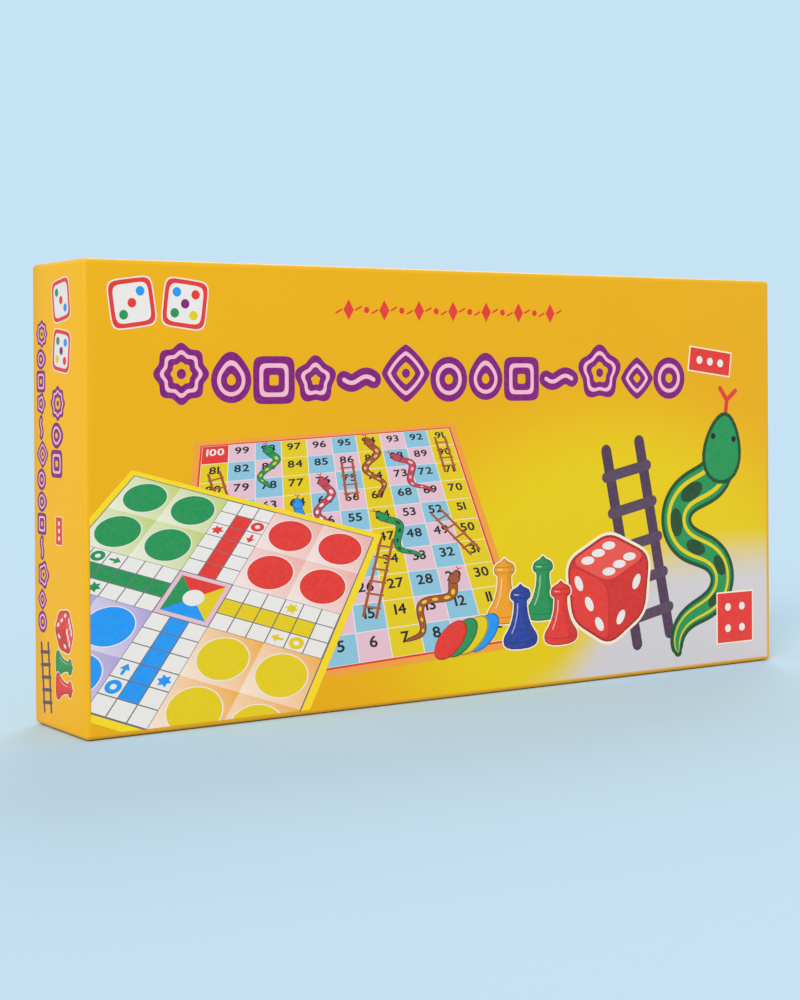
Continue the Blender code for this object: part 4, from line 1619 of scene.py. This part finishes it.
# %% Pawns and counters
PAWN_STEPS, COUNTER_STEPS = 40, 64
for colour, finish in plastics.items():
    for index in range(1, 5):
        node = f"pawn_{colour}_{index}"
        low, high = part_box(node)
        middle = (low + high) / 2
        outward = math.copysign(1.0, middle.x)
        foot = Vector((high.x if outward > 0 else low.x, middle.y, middle.z))
        spin = Matrix.Rotation(math.radians(37 * index), 4, "Z")
        lying = Matrix.Translation(foot) @ Matrix.Rotation(-outward * math.pi / 2, 4, "Y") @ spin
        pawn = turned_piece(f"{colour}_pawn_{index}", pawn_outline(), PAWN_STEPS, lying, finish,
                            PARTING_HEIGHT)
        piece(pawn, node, colour + "_plastic", node)
    node = "counter_" + colour
    low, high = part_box(node)
    lying = Matrix.Translation((low + high) / 2) @ Matrix.Rotation(math.pi / 2, 4, "X")
    counter = turned_piece(colour + "_counter", counter_outline(), COUNTER_STEPS, lying, finish)
    piece(counter, node, colour + "_plastic", node)
print("pieces turned:", 5 * len(plastics))

# %% [markdown]
# ## The die
#
# A die is a cube with well rounded edges. Its pips are shallow dents, drilled by a ball and
# filled with a touch of white paint. Cutting with balls, in one boolean, gives just that shape,
# and the balls' own material stays on the cut.

# %% Die with drilled pips
die_low, die_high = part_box("die")
die_middle = (die_low + die_high) / 2
die_half = (die_high.x - die_low.x) / 2
PIP_RADIUS, PIP_DEPTH, PIP_SPACING, DIE_ROUNDING = 1.3 * MM, 0.4 * MM, 4.1 * MM, 1.8 * MM
BALL_RADIUS = (PIP_RADIUS ** 2 + PIP_DEPTH ** 2) / (2 * PIP_DEPTH)

cube = bmesh.new()
bmesh.ops.create_cube(cube, size=2 * die_half)
bmesh.ops.bevel(cube, geom=cube.edges[:], offset=DIE_ROUNDING, segments=7, profile=0.5,
                affect="EDGES")
bmesh.ops.translate(cube, verts=cube.verts, vec=die_middle)
die = mesh_object("red_die", [], [], (plastics["red"], pip_paint))
cube.to_mesh(die.data)
cube.free()

pip_rows = {1: ((0, 0),), 2: ((-1, -1), (1, 1))}
pip_rows[3] = pip_rows[2] + pip_rows[1]
pip_rows[4] = pip_rows[2] + ((-1, 1), (1, -1))
pip_rows[5] = pip_rows[4] + pip_rows[1]
pip_rows[6] = pip_rows[4] + ((-1, 0), (1, 0))
X, Y, Z = (Vector(axis) for axis in ((1, 0, 0), (0, 1, 0), (0, 0, 1)))
balls = bmesh.new()
for pips, side, across, upward in ((3, -Y, X, Z), (4, Y, X, Z), (6, -X, -Z, Y), (1, X, -Z, Y),
                                   (2, Z, X, Y), (5, -Z, X, Y)):
    facing_side = Z.rotation_difference(side).to_matrix().to_4x4()
    for u, v in pip_rows[pips]:
        centre = (die_middle + side * (die_half + BALL_RADIUS - PIP_DEPTH)
                  + (across * u + upward * v) * PIP_SPACING)
        bmesh.ops.create_uvsphere(balls, u_segments=32, v_segments=20, radius=BALL_RADIUS,
                                  matrix=Matrix.Translation(centre) @ facing_side)
for face in balls.faces:
    face.material_index = 1
drill = mesh_object("pip_drill", [], [], (plastics["red"], pip_paint))
balls.to_mesh(drill.data)
balls.free()
cut = die.modifiers.new("pips", "BOOLEAN")
cut.operation = "DIFFERENCE"
cut.solver = "EXACT"
cut.object = drill
settle(die)
bpy.data.objects.remove(drill)
smooth(die, 35)
piece(die, "die", "red_plastic", "die")
print("die faces:", len(die.data.polygons))

# %% [markdown]
# ## The insert
#
# Warm plastic sheet is sucked over a mould, so every wall leans a little, every edge is round
# and the sheet is the same thing everywhere: one skin. It is built as such. Rings run down the
# outside and down into each well, one flat face with holes joins them, and Solidify gives the
# sheet its thickness.

# %% Finish of the insert
vacuum_sheet = Finish("vacuum_formed_sheet", Specular_IOR_Level=0.5)
_, depth_y, _ = vacuum_sheet.axes()
ripple = vacuum_sheet.noise(9 * MM, 3.0)
grain = vacuum_sheet.noise(0.8 * MM, 2.0)
# the sheet's colour turns a little darker and bluer towards the well floors
towards_well_floors = vacuum_sheet.ease(depth_y, -12 * MM, 4 * MM)
vacuum_sheet.feed(Base_Color=vacuum_sheet.mix(towards_well_floors * 0.6 + ripple * 0.4, paint(236, 237, 240),
                                              paint(216, 219, 226)),
                  Roughness=ripple * 0.14 + grain * 0.06 + 0.20)
vacuum_sheet.bump(ripple * 0.85 + grain * 0.15, 0.12 * MM, 0.5)
print("sheet nodes:", len(vacuum_sheet.tree.nodes))

# %% Skin of the insert
SHEET = 0.8 * MM
DRAFT = math.tan(math.radians(3))
CORNER = 2.0 * MM
MOUTH_ROUNDING = 1.2 * MM
FLOOR_ROUNDING = 0.8 * MM
SHARPEST_CORNER = 0.05 * MM
SIDE_STEPS, ROUNDING_STEPS = 6, 4
insert_low, insert_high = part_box("insert")
# each well in millimetres: its floor's lowest and highest x, lowest and highest z, and its depth
wells = {
    "counters": (-20.75, 20.75, 32.3, 81.8, 4.2), "die": (-14.15, 14.15, 88.8, 105.7, 17.7),
    "red": (-103.95, -69.35, 40.75, 97.25, 15.3), "green": (-62.35, -27.75, 40.75, 97.25, 15.3),
    "yellow": (27.75, 62.35, 40.75, 97.25, 15.3), "blue": (69.35, 103.95, 40.75, 97.25, 15.3),
}


def grown_ring(box, grow, radius, y):
    """A rounded rectangle across Y: a box of lowest and highest x and z, grown on all sides."""
    radius = max(radius, SHARPEST_CORNER)
    low_x, high_x, low_z, high_z = (side + grow * sign for side, sign in zip(box, (-1, 1, -1, 1)))
    ring = []
    for x, z, start in ((high_x - radius, low_z + radius, -90),
                        (high_x - radius, high_z - radius, 0),
                        (low_x + radius, high_z - radius, 90),
                        (low_x + radius, low_z + radius, 180)):
        ring += [(px, y, pz) for px, pz in rounded_corner(x, z, radius, start, start + 90,
                                                          SIDE_STEPS)]
    return ring


skin = bmesh.new()


def add_rings(rings):
    """Joins rings into a wall and gives the vertices of the first and of the last ring."""
    rows = [[skin.verts.new(point) for point in ring] for ring in rings]
    for upper, lower in zip(rows, rows[1:]):
        for index in range(len(upper)):
            after = (index + 1) % len(upper)
            skin.faces.new((upper[index], upper[after], lower[after], lower[index]))
    return rows[0], rows[-1]


def closed_edges(row):
    return [skin.edges.get((row[i - 1], row[i])) for i in range(len(row))]


print("wells:", ", ".join(wells))

# %% Outside, wells and thickness
platform = insert_low.y
outer_box = (insert_low.x, insert_high.x, insert_low.z, insert_high.z)
outside = [grown_ring(outer_box, 0.0, CORNER, insert_high.y)]
for step in range(ROUNDING_STEPS + 2):
    angle = math.pi / 2 * step / (ROUNDING_STEPS + 1)
    inset = CORNER * (1 - math.cos(angle))
    outside.append(grown_ring(outer_box, -inset, CORNER - inset,
                              platform + CORNER * (1 - math.sin(angle))))
_, rim_row = add_rings(outside)
flat_edges = closed_edges(rim_row)
for low_x, high_x, low_z, high_z, depth in wells.values():
    box = tuple(side * MM for side in (low_x, high_x, low_z, high_z))
    deep = depth * MM
    top_grow = (deep - MOUTH_ROUNDING) * DRAFT
    rings = []
    for step in range(ROUNDING_STEPS + 1):
        angle = math.pi / 2 * step / ROUNDING_STEPS
        grow = top_grow + MOUTH_ROUNDING * (1 - math.sin(angle))
        rings.append(grown_ring(box, grow, CORNER + grow,
                                platform + MOUTH_ROUNDING * (1 - math.cos(angle))))
    for step in range(ROUNDING_STEPS + 1):
        angle = math.pi / 2 * step / ROUNDING_STEPS
        inset = FLOOR_ROUNDING * (1 - math.cos(angle))
        rings.append(grown_ring(box, FLOOR_ROUNDING * DRAFT - inset, CORNER - inset,
                                platform + deep - FLOOR_ROUNDING * (1 - math.sin(angle))))
    mouth, floor_row = add_rings(rings)
    skin.faces.new(floor_row)
    flat_edges += closed_edges(mouth)
bmesh.ops.triangle_fill(skin, use_beauty=True, use_dissolve=False, edges=flat_edges,
                        normal=(0, -1, 0))
bmesh.ops.recalc_face_normals(skin, faces=skin.faces)
front_face = min(skin.faces, key=lambda face: face.calc_center_median().y - face.calc_area())
if front_face.normal.y > 0:
    bmesh.ops.reverse_faces(skin, faces=skin.faces)
insert = mesh_object("moulded_insert", [], [], (vacuum_sheet,))
skin.to_mesh(insert.data)
skin.free()
sheet_thickness = insert.modifiers.new("sheet", "SOLIDIFY")
sheet_thickness.thickness = SHEET
sheet_thickness.offset = -1.0
sheet_thickness.use_even_offset = True
settle(insert)
smooth(insert, 28)
piece(insert, "base", "insert_plastic", "insert")
print("insert faces:", len(insert.data.polygons))
